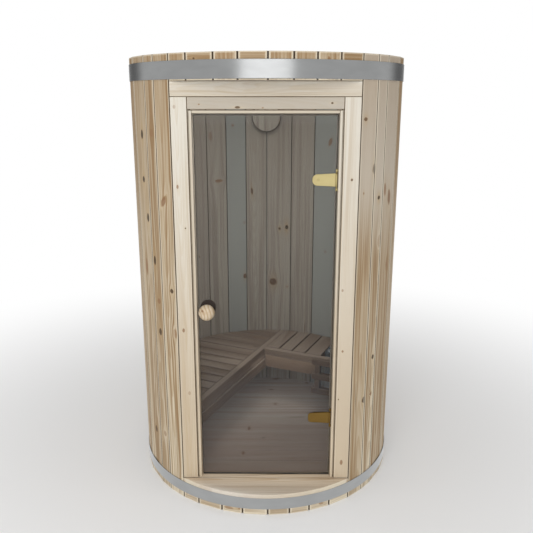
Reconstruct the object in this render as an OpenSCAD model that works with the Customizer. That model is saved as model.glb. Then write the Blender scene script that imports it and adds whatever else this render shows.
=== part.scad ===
// Round indoor sauna cabin: upright staves held by two steel bands, a flat timber
// door frame set into the front, a glass door, an L-shaped slatted bench, and a
// stone-topped heater behind a timber guard.
// Front is -Y, up is +Z, and the origin is the centre of the footprint on the ground.

/* [Cabin] */
// Diameter over the steel bands
cabin_d = 1300; // [1260:10:1800]
// Height of the staves
cabin_h = 2050; // [1700:10:2500]
// Thickness of the stave boards
stave_t = 28; // [20:1:45]

/* [Staves] */
// Angle of the circle taken by the flat door front
front_angle = 75.8; // [68:0.1:80]
// Full-height staves on each side
side_staves = 11; // [9:1:14]
// Angle of the circle taken by the wide staves at the back
back_angle = 74.1; // [60:0.1:90]
// Turn of those wide staves from the middle of the back towards +X
back_turn = 2.7; // [-5:0.1:5]
// Bevel along the outer edges of each stave
arris = 2.5; // [1:0.5:4]
// Joint gap between neighbouring staves
stave_gap = 0.4; // [0.2:0.1:0.8]

/* [Bands] */
// Thickness of the steel bands
band_t = 2; // [1:0.5:4]
// Width of the top band
top_band_w = 73; // [30:1:100]
// Drop from the top of the staves to the top band
top_band_drop = 29; // [15:1:32]
// Width of the bottom band
bottom_band_w = 57; // [30:1:70]
// Height of the bottom band's lower edge
bottom_band_z = 30; // [10:1:34]

/* [Floor and roof] */
// Height of the floor surface
floor_z = 105; // [105:1:180]
// Thickness of the floor and the sill
floor_t = 25; // [18:1:40]
// Width of each floor bearer
bearer_w = 45; // [30:1:80]
// Distance between floor bearers
bearer_pitch = 330; // [250:10:400]
// Depth of the staves below their top edge down to the ceiling
crown_h = 107; // [107:1:160]
// Thickness of the roof deck
roof_t = 25; // [18:1:40]

/* [Door frame] */
// Width of each jamb's front face
jamb_w = 70; // [45:1:90]
// Set-back of the frame's face behind the corners of the staves beside it
frame_set = 3; // [3:0.5:14]
// Depth of the frame members
frame_d = 55; // [50:1:80]
// Height of the header board over the jambs
header_h = 62; // [40:1:120]
// Height of the head rail between the jambs
head_rail_h = 50; // [30:1:90]
// Visible joint between the frame boards
frame_joint = 0.8; // [0.4:0.1:0.9]
// Width of the lining strip around the opening
lining_w = 12.5; // [10:0.5:20]
// Set-back of the lining strip behind the frame face
lining_back = 4; // [2:1:10]
// Width of the groove between jamb and lining
groove_w = 5.5; // [3:0.5:8]
// Depth of that groove
groove_d = 18; // [10:1:25]
// Height of the groove between head rail and top lining
head_groove = 4; // [2:0.5:8]
// Distance that each stop laps behind the closed door
stop_lap = 5.5; // [5:0.5:15]

/* [Door] */
// Thickness of the glass
glass_t = 8; // [6:1:12]
// Set-back of the glass behind the frame face
glass_back = 27; // [22:1:30]
// Clearance around the moving door
door_gap = 4; // [3:0.5:8]
// Clearance of the door on the hinge side
hinge_side_gap = 3; // [2:0.5:8]
// Height of the knob centre above the floor
knob_rise = 842; // [600:1:1100]
// Distance from the door edge to the knob centre
knob_inset = 40; // [38:1:80]
// Radius of the turned knob
knob_r = 36; // [20:1:36]
// Length of the knob's neck
knob_neck = 3; // [2:0.5:6]
// Radius of the bolt that joins the two knobs through the glass
bolt_r = 6; // [3:0.5:8]

/* [Hinges] */
// Radius of the hinge pin
pin_r = 3.2; // [2.5:0.1:4]
// Length of the hinge pin
pin_len = 94; // [80:1:140]
// Wall of the knuckle around the pin
knuckle_wall = 1.5; // [1.2:0.1:2]
// Height of the hinge plate at the pin
plate_h = 55; // [46:1:70]
// Height of the hinge plate at its round end
plate_end_h = 44; // [30:1:46]
// Length of the hinge plate from the pin to its round end
plate_len = 102; // [80:1:140]
// Thickness of the hinge plate
plate_t = 4.5; // [3:0.5:5]
// Length of the bosses at the pin's ends
boss_h = 12; // [8:1:16]
// Wall of those bosses around the pin
boss_wall = 1.4; // [1:0.1:1.4]
// Thickness of the lugs that hold the pin
lug_t = 6; // [4:1:8]
// Drop from the top of the glass to the upper hinge
upper_hinge_drop = 273; // [100:1:400]
// Height of the lower hinge above the floor
lower_hinge_rise = 309; // [100:1:400]

/* [Bench] */
// Turn of the L-shaped bench from the door axis
bench_turn = 24; // [20:1:28]
// Height of the bench surface
bench_z = 441; // [360:1:540]
// Thickness of the bench slats
slat_t = 22; // [15:1:30]
// Gap between bench slats
slat_gap = 6.5; // [4:0.5:12]
// Spacing of the slats on the left bench
left_pitch = 79; // [60:1:110]
// Spacing of the slats on the right bench
right_pitch = 82; // [60:1:84]
// Distance from the cabin axis to the front of the left bench
left_front = 138; // [100:1:200]
// Distance from the cabin axis to the front of the right bench
right_front = 271; // [250:1:320]
// Distance from the cabin axis to the end of the right bench
right_end = 204; // [190:1:230]
// Thickness of the bench front rails
rail_t = 31; // [20:1:40]
// Height of the left bench's front rail
left_rail_h = 63; // [45:1:90]
// Height of the left bench's lower front board
left_board_h = 57; // [30:1:90]
// Height of the right bench's front rail
right_rail_h = 36; // [30:1:60]
// Height of the right bench's lower front board
right_board_h = 76; // [40:1:100]
// Thickness of the right bench's lower front board
right_board_t = 25; // [18:1:31]
// Gap between the left bench's rail and lower board
left_board_gap = 3; // [1:0.5:8]
// Gap between the right bench's rail and lower board
right_board_gap = 1; // [1:0.5:8]
// Distance that the left lower board stands proud
board_proud = 5; // [0:1:12]
// Width of the bearers under the slats
cleat_w = 24; // [18:1:45]
// Height of the bearers under the slats
cleat_h = 38; // [25:1:45]
// Distance from the left bench's rail to its rear bearer
left_bearer_back = 231; // [150:1:260]
// Distance from the right bench's rail to its rear bearer
right_bearer_back = 230; // [150:1:260]

/* [Heater guard] */
// Thickness of the guard rails
guard_t = 30.7; // [20:0.1:40]
// Height of each guard rail
guard_rail_h = 36; // [20:1:50]
// Spacing of the guard rails
guard_pitch = 88; // [60:1:100]
// Distance from the cabin axis to the guard's free end
guard_end = 173; // [150:1:190]
// Width of the spacer blocks
block_w = 30; // [20:1:40]
// Distance from the guard's free end to the first blocks
near_block_inset = 19; // [5:1:40]
// Distance from the wall to the last blocks
far_block_inset = 55; // [20:1:80]

/* [Heater] */
// Width of the heater
heater_w = 160; // [120:1:160]
// Depth of the heater
heater_d = 130; // [100:1:130]
// Rise of the heater's rim above the bench surface
heater_rise = 7; // [-40:1:20]
// Height of the heater legs
heater_leg_h = 80; // [60:1:100]
// Radius of the heater's upright corners
heater_r = 10; // [8:1:20]
// Height of the stones above the heater's rim
stone_h = 22; // [15:1:50]
// Thickness of the heater's wall
heater_wall = 3; // [1:0.5:5]
// Depth of the tray that the stones lie in
heater_pocket = 60; // [30:1:80]
// Space between the heater and the end of the bench
heater_clear = 8; // [5:1:8]
// Space between the bench's front rail and the heater
heater_setback = 49; // [5:1:49]
// Width of each heater leg
leg_w = 35; // [20:1:50]
// Distance from the heater's side to its legs
leg_inset = 32; // [10:1:45]

/* [Vent] */
// Diameter of the vent disc
vent_d = 170; // [120:1:220]
// Thickness of the vent disc
vent_t = 18; // [12:1:30]
// Distance of the disc from the wall
vent_stand = 12; // [8:1:30]
// Drop from the ceiling to the vent disc's centre
vent_drop = 177; // [120:1:400]
// Sideways offset of the vent disc from the middle of the back
vent_shift = -4; // [-60:1:60]

/* [Hidden] */
$fn = 96;

// Rest gap between pieces that seat on each other
seat = 0.3;
// Overshoot of the shapes that cut others
cut = 1;
// Gap between the floor bearers' ends and the wall
bearer_wall_gap = 1.3;

// The staves are boards of uneven width. Relative widths of the short staves over and under
// the door and of the wide ones at the back, counted round from the left of the door past
// the right, and the angles of the first full staves on either side of the door; the rest
// of the side staves share what is left
front_widths = [8.3, 11.1, 8.9, 10.5, 9, 8.5, 9.3, 10.2];
back_widths = [13.2, 13.1, 13.7, 11.5, 11.1, 11.5];
side_first = [8.7, 6.8, 12.1];

// Sum of the first n values of a list, and a list scaled to a total
function sum(list, n) = n == 0 ? 0 : sum(list, n - 1) + list[n - 1];
function scaled(list, whole) = [for (v = list) v * whole / sum(list, len(list))];

// Angles of the stave joints, measured from the front towards +X, all the way round
front_half = front_angle / 2;
right_angle = 180 - front_half - back_turn - back_angle / 2;
left_angle = 180 - front_half + back_turn - back_angle / 2;
rest_count = side_staves - len(side_first);
function side_widths(angle) = concat(
  side_first, [for (i = [1:rest_count]) (angle - sum(side_first, len(side_first))) / rest_count]
);
left_widths = side_widths(left_angle);
stave_widths = concat(
  scaled(front_widths, front_angle), side_widths(right_angle), scaled(back_widths, back_angle),
  [for (i = [1:side_staves]) left_widths[side_staves - i]]
);
stave_count = len(stave_widths);
joints = [for (i = [0:stave_count]) sum(stave_widths, i) - front_half];
function middle(i) = i < 0 ? middle(i + stave_count) - 360 : (joints[i] + joints[i + 1]) / 2;

// Radii of the stave ring: its outer corners, and the room's flat inner faces, which
// leave an average stave its full thickness at the middle
band_r = cabin_d / 2;
stave_r = band_r - band_t - seat;
room_r = stave_r * cos(180 / stave_count) - stave_t;

// The front plane stands a little behind the corners of the staves beside the door
front_y = -(stave_r - frame_set) * cos(front_half);
frame_y = front_y + frame_d;
jamb_x = (stave_r - frame_set) * sin(front_half);
opening_x = jamb_x - jamb_w;
lining_x = opening_x - groove_w - lining_w;

// The frame's sides follow the end of the stave beside the door, then its inner face
frame_fit = 0.8;
stave_inner = round_pt(room_r / cos(side_first[0] / 2), front_half);
frame_side_x = jamb_x - frame_fit;
frame_back_x = stave_inner[0] - frame_fit;

// Heights of the door frame
ceiling_z = cabin_h - crown_h;
header_z = ceiling_z - seat - header_h;
head_rail_z = header_z - frame_joint - head_rail_h;
lining_top = head_rail_z - head_groove;
door_top = lining_top - lining_w - door_gap;

// Glass door
glass_y = front_y + glass_back;
glass_left = -lining_x + door_gap;
glass_right = lining_x - hinge_side_gap;
stop_x = glass_right - stop_lap;
glass_z = floor_z + door_gap;
glass_h = door_top - glass_z;
bolt_fit = 0.3;
knob_x = glass_left + knob_inset;
knob_z = floor_z + knob_rise;

// Hinges: the pin stands in front of the glass, with a clearance in the knuckle
pin_fit = 0.1;
knuckle_gap = 0.8;
knuckle_to_glass = 0.2;
knuckle_r = pin_r + knuckle_wall + pin_fit;
boss_r = pin_r + boss_wall;
pin_x = lining_x - knuckle_r - knuckle_gap;
pin_y = glass_y - knuckle_r - knuckle_to_glass;
upper_hinge_z = door_top - upper_hinge_drop;
lower_hinge_z = floor_z + lower_hinge_rise;

// Bench
left_rail_z = bench_z - left_rail_h;
left_board_z = left_rail_z - left_board_gap - left_board_h;
right_rail_z = bench_z - right_rail_h;
right_board_z = right_rail_z - right_board_gap - right_board_h;
slat_z = bench_z - slat_t;
cleat_z = slat_z - seat - cleat_h;
slat_start = right_front + rail_t;
// Where one joint of the left bench's slats lies, and the slats' gap to the wall
slat_phase = -20;
slat_wall_gap = 2;
right_count = floor((right_end + left_front) / right_pitch);

// Heater guard and heater
guard_y = right_front - seat - guard_t;
guard_rails_n = 3;
guard_wall_x = sqrt(pow(room_r, 2) - pow(right_front, 2));
heater_x = right_end + heater_clear;
heater_y = right_front + rail_t + heater_setback;
heater_z = floor_z + heater_leg_h;
heater_h = bench_z + heater_rise - heater_z;

// A point on a circle, at an angle from the front towards +X
function round_pt(r, a) = [r * sin(a), -r * cos(a)];

// Corners of the room's many-sided inner outline, pulled in by a gap: each one is where the
// inner faces of two neighbouring staves would meet
function room_outline(gap) = [
  for (i = [0:stave_count - 1])
    let (half_turn = (middle(i) - middle(i - 1)) / 2)
    round_pt((room_r - gap) / cos(half_turn), middle(i) - half_turn)
];

// One stave between two joint angles: flat outside and inside, bevelled outer edges
module stave(a0, a1, z0, z1) {
  mid = (a0 + a1) / 2;
  half = (a1 - a0) / 2;
  bevel = arris / stave_r * 180 / PI;
  gap = stave_gap / 2 / stave_r * 180 / PI;
  inner = room_r / cos(half);
  outline = [
    round_pt(stave_r, -half + bevel),
    round_pt(stave_r, half - bevel),
    round_pt(stave_r - arris, half - gap),
    round_pt(inner, half - gap),
    round_pt(inner, -half + gap),
    round_pt(stave_r - arris, -half + gap)
  ];
  translate([0, 0, z0])
    rotate([0, 0, mid])
      linear_extrude(z1 - z0)
        polygon(outline);
}

// A run of staves, counted round from the left of the door
module stave_run(first, count, z0, z1) {
  for (i = [first:first + count - 1])
    stave(joints[i], joints[i + 1], z0, z1);
}

front_count = len(front_widths);
back_count = len(back_widths);
side_front_count = ceil(side_staves / 2);
side_rear_count = side_staves - side_front_count;
first_back = front_count + side_staves;
first_left = first_back + back_count;

module right_front_staves()
  color("burlywood")
    stave_run(front_count, side_front_count, 0, cabin_h);

module right_rear_staves()
  color("tan")
    stave_run(front_count + side_front_count, side_rear_count, 0, cabin_h);

module back_staves()
  color("tan")
    stave_run(first_back, back_count, 0, cabin_h);

module left_rear_staves()
  color("tan")
    stave_run(first_left, side_rear_count, 0, cabin_h);

module left_front_staves()
  color("burlywood")
    stave_run(first_left + side_rear_count, side_front_count, 0, cabin_h);

module front_top_staves()
  color("burlywood")
    stave_run(0, front_count, ceiling_z, cabin_h);

// These end below the sill, which covers them
module front_bottom_staves()
  color("burlywood")
    stave_run(0, front_count, 0, floor_z - floor_t - seat);

module band(z, w) {
  translate([0, 0, z])
    difference() {
      cylinder(r = band_r, h = w, $fn = 180);
      translate([0, 0, -cut])
        cylinder(r = band_r - band_t, h = w + 2 * cut, $fn = 180);
    }
}

module top_band()
  color("silver")
    band(cabin_h - top_band_drop - top_band_w, top_band_w);

module bottom_band()
  color("silver")
    band(bottom_band_z, bottom_band_w);

// The room's inner shape as a solid, for pieces that are cut to the wall
module room(z0, z1, gap) {
  translate([0, 0, z0])
    linear_extrude(z1 - z0)
      polygon(room_outline(gap));
}

module roof_deck()
  color("wheat")
    room(ceiling_z, ceiling_z + roof_t, seat);

module floor_deck()
  color("wheat")
    intersection() {
      room(floor_z - floor_t, floor_z, seat);
      translate([-band_r, frame_y + seat, 0])
        cube([cabin_d, cabin_d, floor_z + cut]);
    }

// The sill covers the short staves under the door: it follows the ring's curve in front and
// the room's outline behind
module sill_board()
  color("burlywood")
    intersection() {
      union() {
        room(floor_z - floor_t, floor_z, seat);
        intersection() {
          translate([0, 0, floor_z - floor_t])
            cylinder(r = stave_r, h = floor_t, $fn = 180);
          translate([0, -seat, 0])
            linear_extrude(floor_z)
              polygon([[0, 0], round_pt(2 * band_r, -front_half), round_pt(2 * band_r, front_half)]);
        }
      }
      translate([-band_r, frame_y - cabin_d, 0])
        cube([cabin_d, cabin_d, floor_z + cut]);
    }

module floor_bearers()
  color("peru")
    for (i = [-1:1])
      intersection() {
        room(0, floor_z - floor_t - seat, bearer_wall_gap);
        translate([i * bearer_pitch - bearer_w / 2, -band_r, -cut])
          cube([bearer_w, cabin_d, floor_z + cut]);
      }

// Outline of the right jamb: fits against the stave's end and inner face
function jamb_outline() =
  let (step_y = front_y + groove_d) [
    [opening_x, front_y],
    [frame_side_x, front_y],
    [frame_back_x, stave_inner[1]],
    [frame_back_x, frame_y],
    [opening_x - groove_w, frame_y],
    [opening_x - groove_w, step_y],
    [opening_x, step_y]
  ];

module jamb() {
  translate([0, 0, floor_z + seat])
    linear_extrude(header_z - frame_joint - floor_z - seat)
      polygon(jamb_outline());
}

module right_jamb()
  color("wheat")
    jamb();

module left_jamb()
  color("wheat")
    mirror([1, 0, 0])
      jamb();

module head_rail() {
  w = 2 * (opening_x - frame_joint);
  color("wheat")
    difference() {
      translate([-w / 2, front_y, lining_top + seat])
        cube([w, frame_d, head_groove + head_rail_h - seat]);
      translate([-w / 2 - cut, front_y - cut, lining_top])
        cube([w + 2 * cut, groove_d + cut, head_groove]);
      for (side = [-1, 1])
        translate([side * (opening_x - groove_w / 2), front_y + groove_d + frame_d / 2, header_z / 2])
          cube([groove_w + 2 * seat, frame_d, header_z * 2], center = true);
    }
}

module header_board()
  color("wheat")
    translate([0, 0, header_z])
      linear_extrude(header_h)
        polygon([
          [-frame_side_x, front_y], [frame_side_x, front_y],
          [frame_back_x, stave_inner[1]], [frame_back_x, frame_y],
          [-frame_back_x, frame_y], [-frame_back_x, stave_inner[1]]
        ]);

module lining_side() {
  translate([lining_x, front_y + lining_back, floor_z + seat])
    cube([lining_w - seat, frame_d - lining_back, lining_top - floor_z - seat]);
}

module right_lining()
  color("wheat")
    lining_side();

module left_lining()
  color("wheat")
    mirror([1, 0, 0])
      lining_side();

module top_lining()
  color("wheat")
    translate([-lining_x + seat, front_y + lining_back, lining_top - lining_w])
      cube([2 * (lining_x - seat), frame_d - lining_back, lining_w]);

// Strips behind the glass that the closed door shuts against, at the hinge side and the top
module door_stops() {
  stop_y = glass_y + glass_t + door_gap;
  stop_d = frame_y - stop_y;
  top_h = door_gap + stop_lap;
  side_h = lining_top - lining_w - seat - floor_z - seat;
  color("tan") {
    translate([stop_x, stop_y, floor_z + seat])
      cube([lining_x - seat - stop_x, stop_d, side_h]);
    translate([-lining_x + seat, stop_y, lining_top - lining_w - seat - top_h])
      cube([lining_x + stop_x - stave_gap - seat, stop_d, top_h]);
  }
}

// Everything on the bench and heater is set out in a frame turned with the bench:
// x runs across the left bench, y runs along it towards the back wall
module bench_frame() {
  rotate([0, 0, -bench_turn])
    children();
}

// Cuts a bench piece to the wall and to the back of the door frame
module in_room(gap = seat) {
  intersection() {
    room(floor_z, cabin_h, gap);
    translate([-band_r, frame_y + seat, 0])
      cube([cabin_d, cabin_d, cabin_h]);
    bench_frame()
      children();
  }
}

// The slats of the left bench run from the wall to the back of its rail, from the door
// frame to the back wall; the last one is left out if less than a third of it would show
module left_bench_slats() {
  rail_back = left_front + rail_t;
  y_front = (frame_y - rail_back * sin(bench_turn)) / cos(bench_turn);
  y_back = sqrt(pow(room_r, 2) - pow(rail_back, 2));
  first = floor((y_front - slat_phase) / left_pitch);
  last = floor((y_back - slat_phase) / left_pitch - 1 / 3);
  color("tan")
    for (i = [first:last])
      in_room(slat_wall_gap)
        translate([-band_r, slat_phase + i * left_pitch + slat_gap / 2, slat_z])
          cube([band_r - rail_back - seat, left_pitch - slat_gap, slat_t]);
}

module left_bench_rail()
  color("tan")
    in_room()
      translate([-left_front - rail_t, -band_r, left_rail_z])
        cube([rail_t, cabin_d, left_rail_h]);

module left_bench_board()
  color("tan")
    in_room()
      translate([-left_front - rail_t + board_proud, -band_r, left_board_z])
        cube([rail_t, cabin_d, left_board_h]);

module left_bench_bearers()
  color("peru")
    for (back = [seat + cleat_w, left_bearer_back])
      in_room()
        translate([-left_front - rail_t - back, -band_r, cleat_z])
          cube([cleat_w, cabin_d, cleat_h]);

module right_bench_slats()
  color("tan")
    for (i = [0:right_count - 1]) {
      x0 = -left_front + i * right_pitch + (i == 0 ? seat : slat_gap / 2);
      x1 = i == right_count - 1 ? right_end : -left_front + (i + 1) * right_pitch - slat_gap / 2;
      in_room(slat_wall_gap)
        translate([x0, slat_start + seat, slat_z])
          cube([x1 - x0, band_r, slat_t]);
    }

module right_bench_rail()
  color("tan")
    in_room()
      translate([-left_front + seat, right_front, right_rail_z])
        cube([cabin_d, rail_t, right_rail_h]);

module right_bench_board()
  color("tan")
    in_room()
      translate([-left_front + board_proud + seat, right_front, right_board_z])
        cube([right_end + left_front - board_proud, right_board_t, right_board_h]);

module right_bench_bearers() {
  x0 = -left_front + board_proud + seat;
  color("peru") {
    for (back = [seat, right_bearer_back])
      in_room()
        translate([x0, slat_start + back, cleat_z])
          cube([right_end - cleat_w - seat - x0, cleat_w, cleat_h]);
    in_room()
      translate([right_end - cleat_w, slat_start + seat, cleat_z])
        cube([cleat_w, band_r, cleat_h]);
  }
}

module guard_rails()
  color("tan")
    for (level = [0:guard_rails_n - 1])
      in_room()
        translate([guard_end, guard_y, bench_z - guard_rail_h - level * guard_pitch])
          cube([band_r, guard_t, guard_rail_h]);

module guard_blocks()
  color("tan")
    for (level = [0:guard_rails_n - 2],
         x = [guard_end + near_block_inset, guard_wall_x - far_block_inset - block_w])
      bench_frame()
        translate([x, guard_y, bench_z - (level + 1) * guard_pitch + seat])
          cube([block_w, guard_t, guard_pitch - guard_rail_h - 2 * seat]);

// Upright box with round corners
module round_box(w, d, h, r) {
  translate([r, r, 0])
    linear_extrude(h)
      union() {
        for (x = [0, w - 2 * r], y = [0, d - 2 * r])
          translate([x, y])
            circle(r = r);
        translate([-r, 0])
          square([w, d - 2 * r]);
        translate([0, -r])
          square([w - 2 * r, d]);
      }
}

module heater_body()
  color("gray")
    bench_frame()
      translate([heater_x, heater_y, heater_z])
        difference() {
          round_box(heater_w, heater_d, heater_h, heater_r);
          translate([heater_wall, heater_wall, heater_h - heater_pocket])
            round_box(heater_w - 2 * heater_wall, heater_d - 2 * heater_wall,
                      heater_pocket + cut, heater_r - heater_wall);
        }

module heater_stones() {
  in = heater_wall + seat;
  color("dimgray")
    bench_frame()
      translate([heater_x + in, heater_y + in, heater_z + heater_h - heater_pocket + seat])
        round_box(heater_w - 2 * in, heater_d - 2 * in, heater_pocket + stone_h - seat, heater_r - in);
}

module heater_legs()
  color("slategray")
    for (x = [leg_inset, heater_w - leg_inset - leg_w])
      bench_frame()
        translate([heater_x + x, heater_y + heater_r / 2, floor_z])
          cube([leg_w, heater_d - heater_r, heater_leg_h]);

// Round disc on a hub that is cut to the back wall
module vent_disc() {
  disc_r = vent_d / 2;
  hub_r = vent_d / 5;
  back_edge = 3;
  front_edge = 5;
  front_z = vent_stand + vent_t;
  vent_z = ceiling_z - vent_drop;
  color("wheat")
    intersection() {
      room(vent_z - vent_d, vent_z + vent_d, seat);
      translate([vent_shift, room_r, vent_z])
        rotate([90, 0, 0])
          rotate_extrude()
            polygon([
              [0, -vent_stand], [hub_r, -vent_stand], [hub_r, vent_stand],
              [disc_r - back_edge, vent_stand], [disc_r, vent_stand + back_edge],
              [disc_r, front_z - front_edge], [disc_r - front_edge, front_z], [0, front_z]
            ]);
    }
}

// Fixed half of a hinge: pin, end bosses and the lugs that hold them to the lining
module hinge_pin(z) {
  color("gold")
    translate([pin_x, pin_y, z]) {
      translate([0, 0, -pin_len / 2])
        cylinder(r = pin_r, h = pin_len);
      for (side = [-1, 1])
        translate([0, 0, side * (pin_len / 2 - boss_h / 2)]) {
          cylinder(r = boss_r, h = boss_h, center = true);
          translate([0, -lug_t / 2, -boss_h / 2])
            cube([lining_x - pin_x, lug_t, boss_h]);
        }
    }
}

module upper_hinge_pin()
  hinge_pin(upper_hinge_z);

module lower_hinge_pin()
  hinge_pin(lower_hinge_z);

// Moving half of a hinge: plate with a knuckle at the pin, tapering to a round end, and a
// clamp plate behind the glass
module hinge_plate(z) {
  end_r = plate_end_h / 2;
  clamp_x = pin_x - plate_len + end_r;
  color("gold")
    translate([0, 0, z]) {
      difference() {
        union() {
          translate([pin_x, pin_y, -plate_h / 2])
            cylinder(r = knuckle_r, h = plate_h);
          translate([clamp_x, glass_y, 0])
            rotate([90, 0, 0]) {
              cylinder(r = end_r, h = plate_t);
              linear_extrude(plate_t)
                polygon([
                  [0, -end_r], [plate_len - end_r, -plate_h / 2],
                  [plate_len - end_r, plate_h / 2], [0, end_r]
                ]);
            }
        }
        translate([pin_x, pin_y, -plate_h])
          cylinder(r = pin_r + pin_fit, h = 2 * plate_h);
      }
      translate([clamp_x, glass_y + glass_t, -end_r])
        cube([stop_x - door_gap - clamp_x, plate_t, plate_end_h]);
    }
}

module upper_hinge_plate()
  hinge_plate(upper_hinge_z);

module lower_hinge_plate()
  hinge_plate(lower_hinge_z);

module door_glass()
  color("dimgray", 0.5)
    difference() {
      translate([glass_left, glass_y, glass_z])
        cube([glass_right - glass_left, glass_t, glass_h]);
      translate([knob_x, glass_y - cut, knob_z])
        rotate([-90, 0, 0])
          cylinder(r = bolt_r, h = glass_t + 2 * cut);
    }

// Turned ball on a short neck; z runs away from the glass
module knob(spigot) {
  neck_r = knob_r * 0.55;
  centre = knob_neck + sqrt(knob_r * knob_r - neck_r * neck_r);
  rotate_extrude()
    union() {
      intersection() {
        translate([0, centre])
          circle(r = knob_r);
        translate([0, knob_neck])
          square([knob_r, 2 * knob_r]);
      }
      square([neck_r, knob_neck + cut]);
      translate([0, -spigot])
        square([bolt_r - bolt_fit, spigot + cut]);
    }
}

module outer_knob()
  color("wheat")
    translate([knob_x, glass_y, knob_z])
      rotate([90, 0, 0])
        knob(glass_t);

module inner_knob()
  color("sienna")
    translate([knob_x, glass_y + glass_t, knob_z])
      rotate([-90, 0, 0])
        knob(0);

back_staves();
left_rear_staves();
left_front_staves();
right_front_staves();
right_rear_staves();
front_top_staves();
front_bottom_staves();
top_band();
bottom_band();
roof_deck();
floor_deck();
floor_bearers();
sill_board();
left_jamb();
right_jamb();
head_rail();
header_board();
left_lining();
right_lining();
top_lining();
door_stops();
left_bench_slats();
left_bench_rail();
left_bench_board();
left_bench_bearers();
right_bench_slats();
right_bench_rail();
right_bench_board();
right_bench_bearers();
guard_rails();
guard_blocks();
heater_body();
heater_stones();
heater_legs();
vent_disc();
upper_hinge_pin();
lower_hinge_pin();
door_glass();
upper_hinge_plate();
lower_hinge_plate();
outer_knob();
inner_knob();
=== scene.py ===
# %% [markdown]
# # An upright barrel sauna
# The cabin is a barrel that stands on its end: staves held by two steel hoops, with a flat
# timber front, a tinted glass door, a corner bench and a heater behind a timber guard.
# The packed CAD model is the frame. Each piece here takes its place and size from it, and
# adds what a joiner or a smith would: soft arrises, grain, knots, stones and worn metal.

import math

import bmesh
import bpy
import numpy as np
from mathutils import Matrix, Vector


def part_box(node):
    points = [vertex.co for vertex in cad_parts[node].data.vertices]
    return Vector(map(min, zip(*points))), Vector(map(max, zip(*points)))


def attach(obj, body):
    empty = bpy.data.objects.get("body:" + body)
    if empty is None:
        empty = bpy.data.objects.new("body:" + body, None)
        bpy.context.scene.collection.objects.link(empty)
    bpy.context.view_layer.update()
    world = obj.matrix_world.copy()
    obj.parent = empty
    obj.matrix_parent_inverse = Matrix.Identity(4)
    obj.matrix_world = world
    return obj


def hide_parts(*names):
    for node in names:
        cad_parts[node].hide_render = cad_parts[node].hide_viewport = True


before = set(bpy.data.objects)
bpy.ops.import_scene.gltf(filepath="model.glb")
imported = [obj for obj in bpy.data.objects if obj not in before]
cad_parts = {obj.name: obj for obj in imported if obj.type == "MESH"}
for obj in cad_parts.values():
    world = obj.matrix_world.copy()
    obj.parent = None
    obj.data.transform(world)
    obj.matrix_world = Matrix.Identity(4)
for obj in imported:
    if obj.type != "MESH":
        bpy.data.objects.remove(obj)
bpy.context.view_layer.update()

# %% [markdown]
# ## Camera
# A standing person looks slightly down at the door from about three metres away.
# A longer lens from further off would flatten the barrel, so distance and lens go together.

# %% Camera
EYE = (0.022, -3.191, 1.879)
LOOK_DOWN = math.radians(15.01)
LOOK_LEFT = math.radians(0.395)
LENS_MM = 42.7

camera = bpy.data.objects.new("camera", bpy.data.cameras.new("camera"))
camera.data.lens = LENS_MM
camera.location = EYE
camera.rotation_euler = (math.pi / 2 - LOOK_DOWN, 0, LOOK_LEFT)
bpy.context.scene.collection.objects.link(camera)
bpy.context.scene.camera = camera
print("camera", EYE, "lens", LENS_MM)

# %% [markdown]
# ## Writing a finish
# A finish is a tree of shader nodes. Written node by node it is long and hard to read, so
# a wire between nodes is wrapped in a small class that adds and multiplies like a number.
# Then `1 - knot * 0.5` makes its own Math nodes, and one method makes every other node.

# %% Wires
class Wire:
    """An output socket that takes part in sums: a + b, 1 - a, a * b, a / b, a ** b, and
    a | b for the larger of two."""

    def __init__(self, finish, socket):
        self.finish, self.socket = finish, socket

    def sum(self, operation, first, second):
        """A Math node on two numbers or wires."""
        return self.finish.node("Math", {"operation": operation}, {0: first, 1: second})

    def __add__(self, other):
        return self.sum("ADD", self, other)

    def __sub__(self, other):
        return self.sum("SUBTRACT", self, other)

    def __rsub__(self, other):
        return self.sum("SUBTRACT", other, self)

    def __mul__(self, other):
        return self.sum("MULTIPLY", self, other)

    def __truediv__(self, other):
        return self.sum("DIVIDE", self, other)

    def __rtruediv__(self, other):
        return self.sum("DIVIDE", other, self)

    def __pow__(self, other):
        return self.sum("POWER", self, other)

    def __or__(self, other):
        return self.sum("MAXIMUM", self, other)

    __radd__ = __add__
    __rmul__ = __mul__


print("wires know", [name for name in vars(Wire) if name.startswith("__r")])

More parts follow.
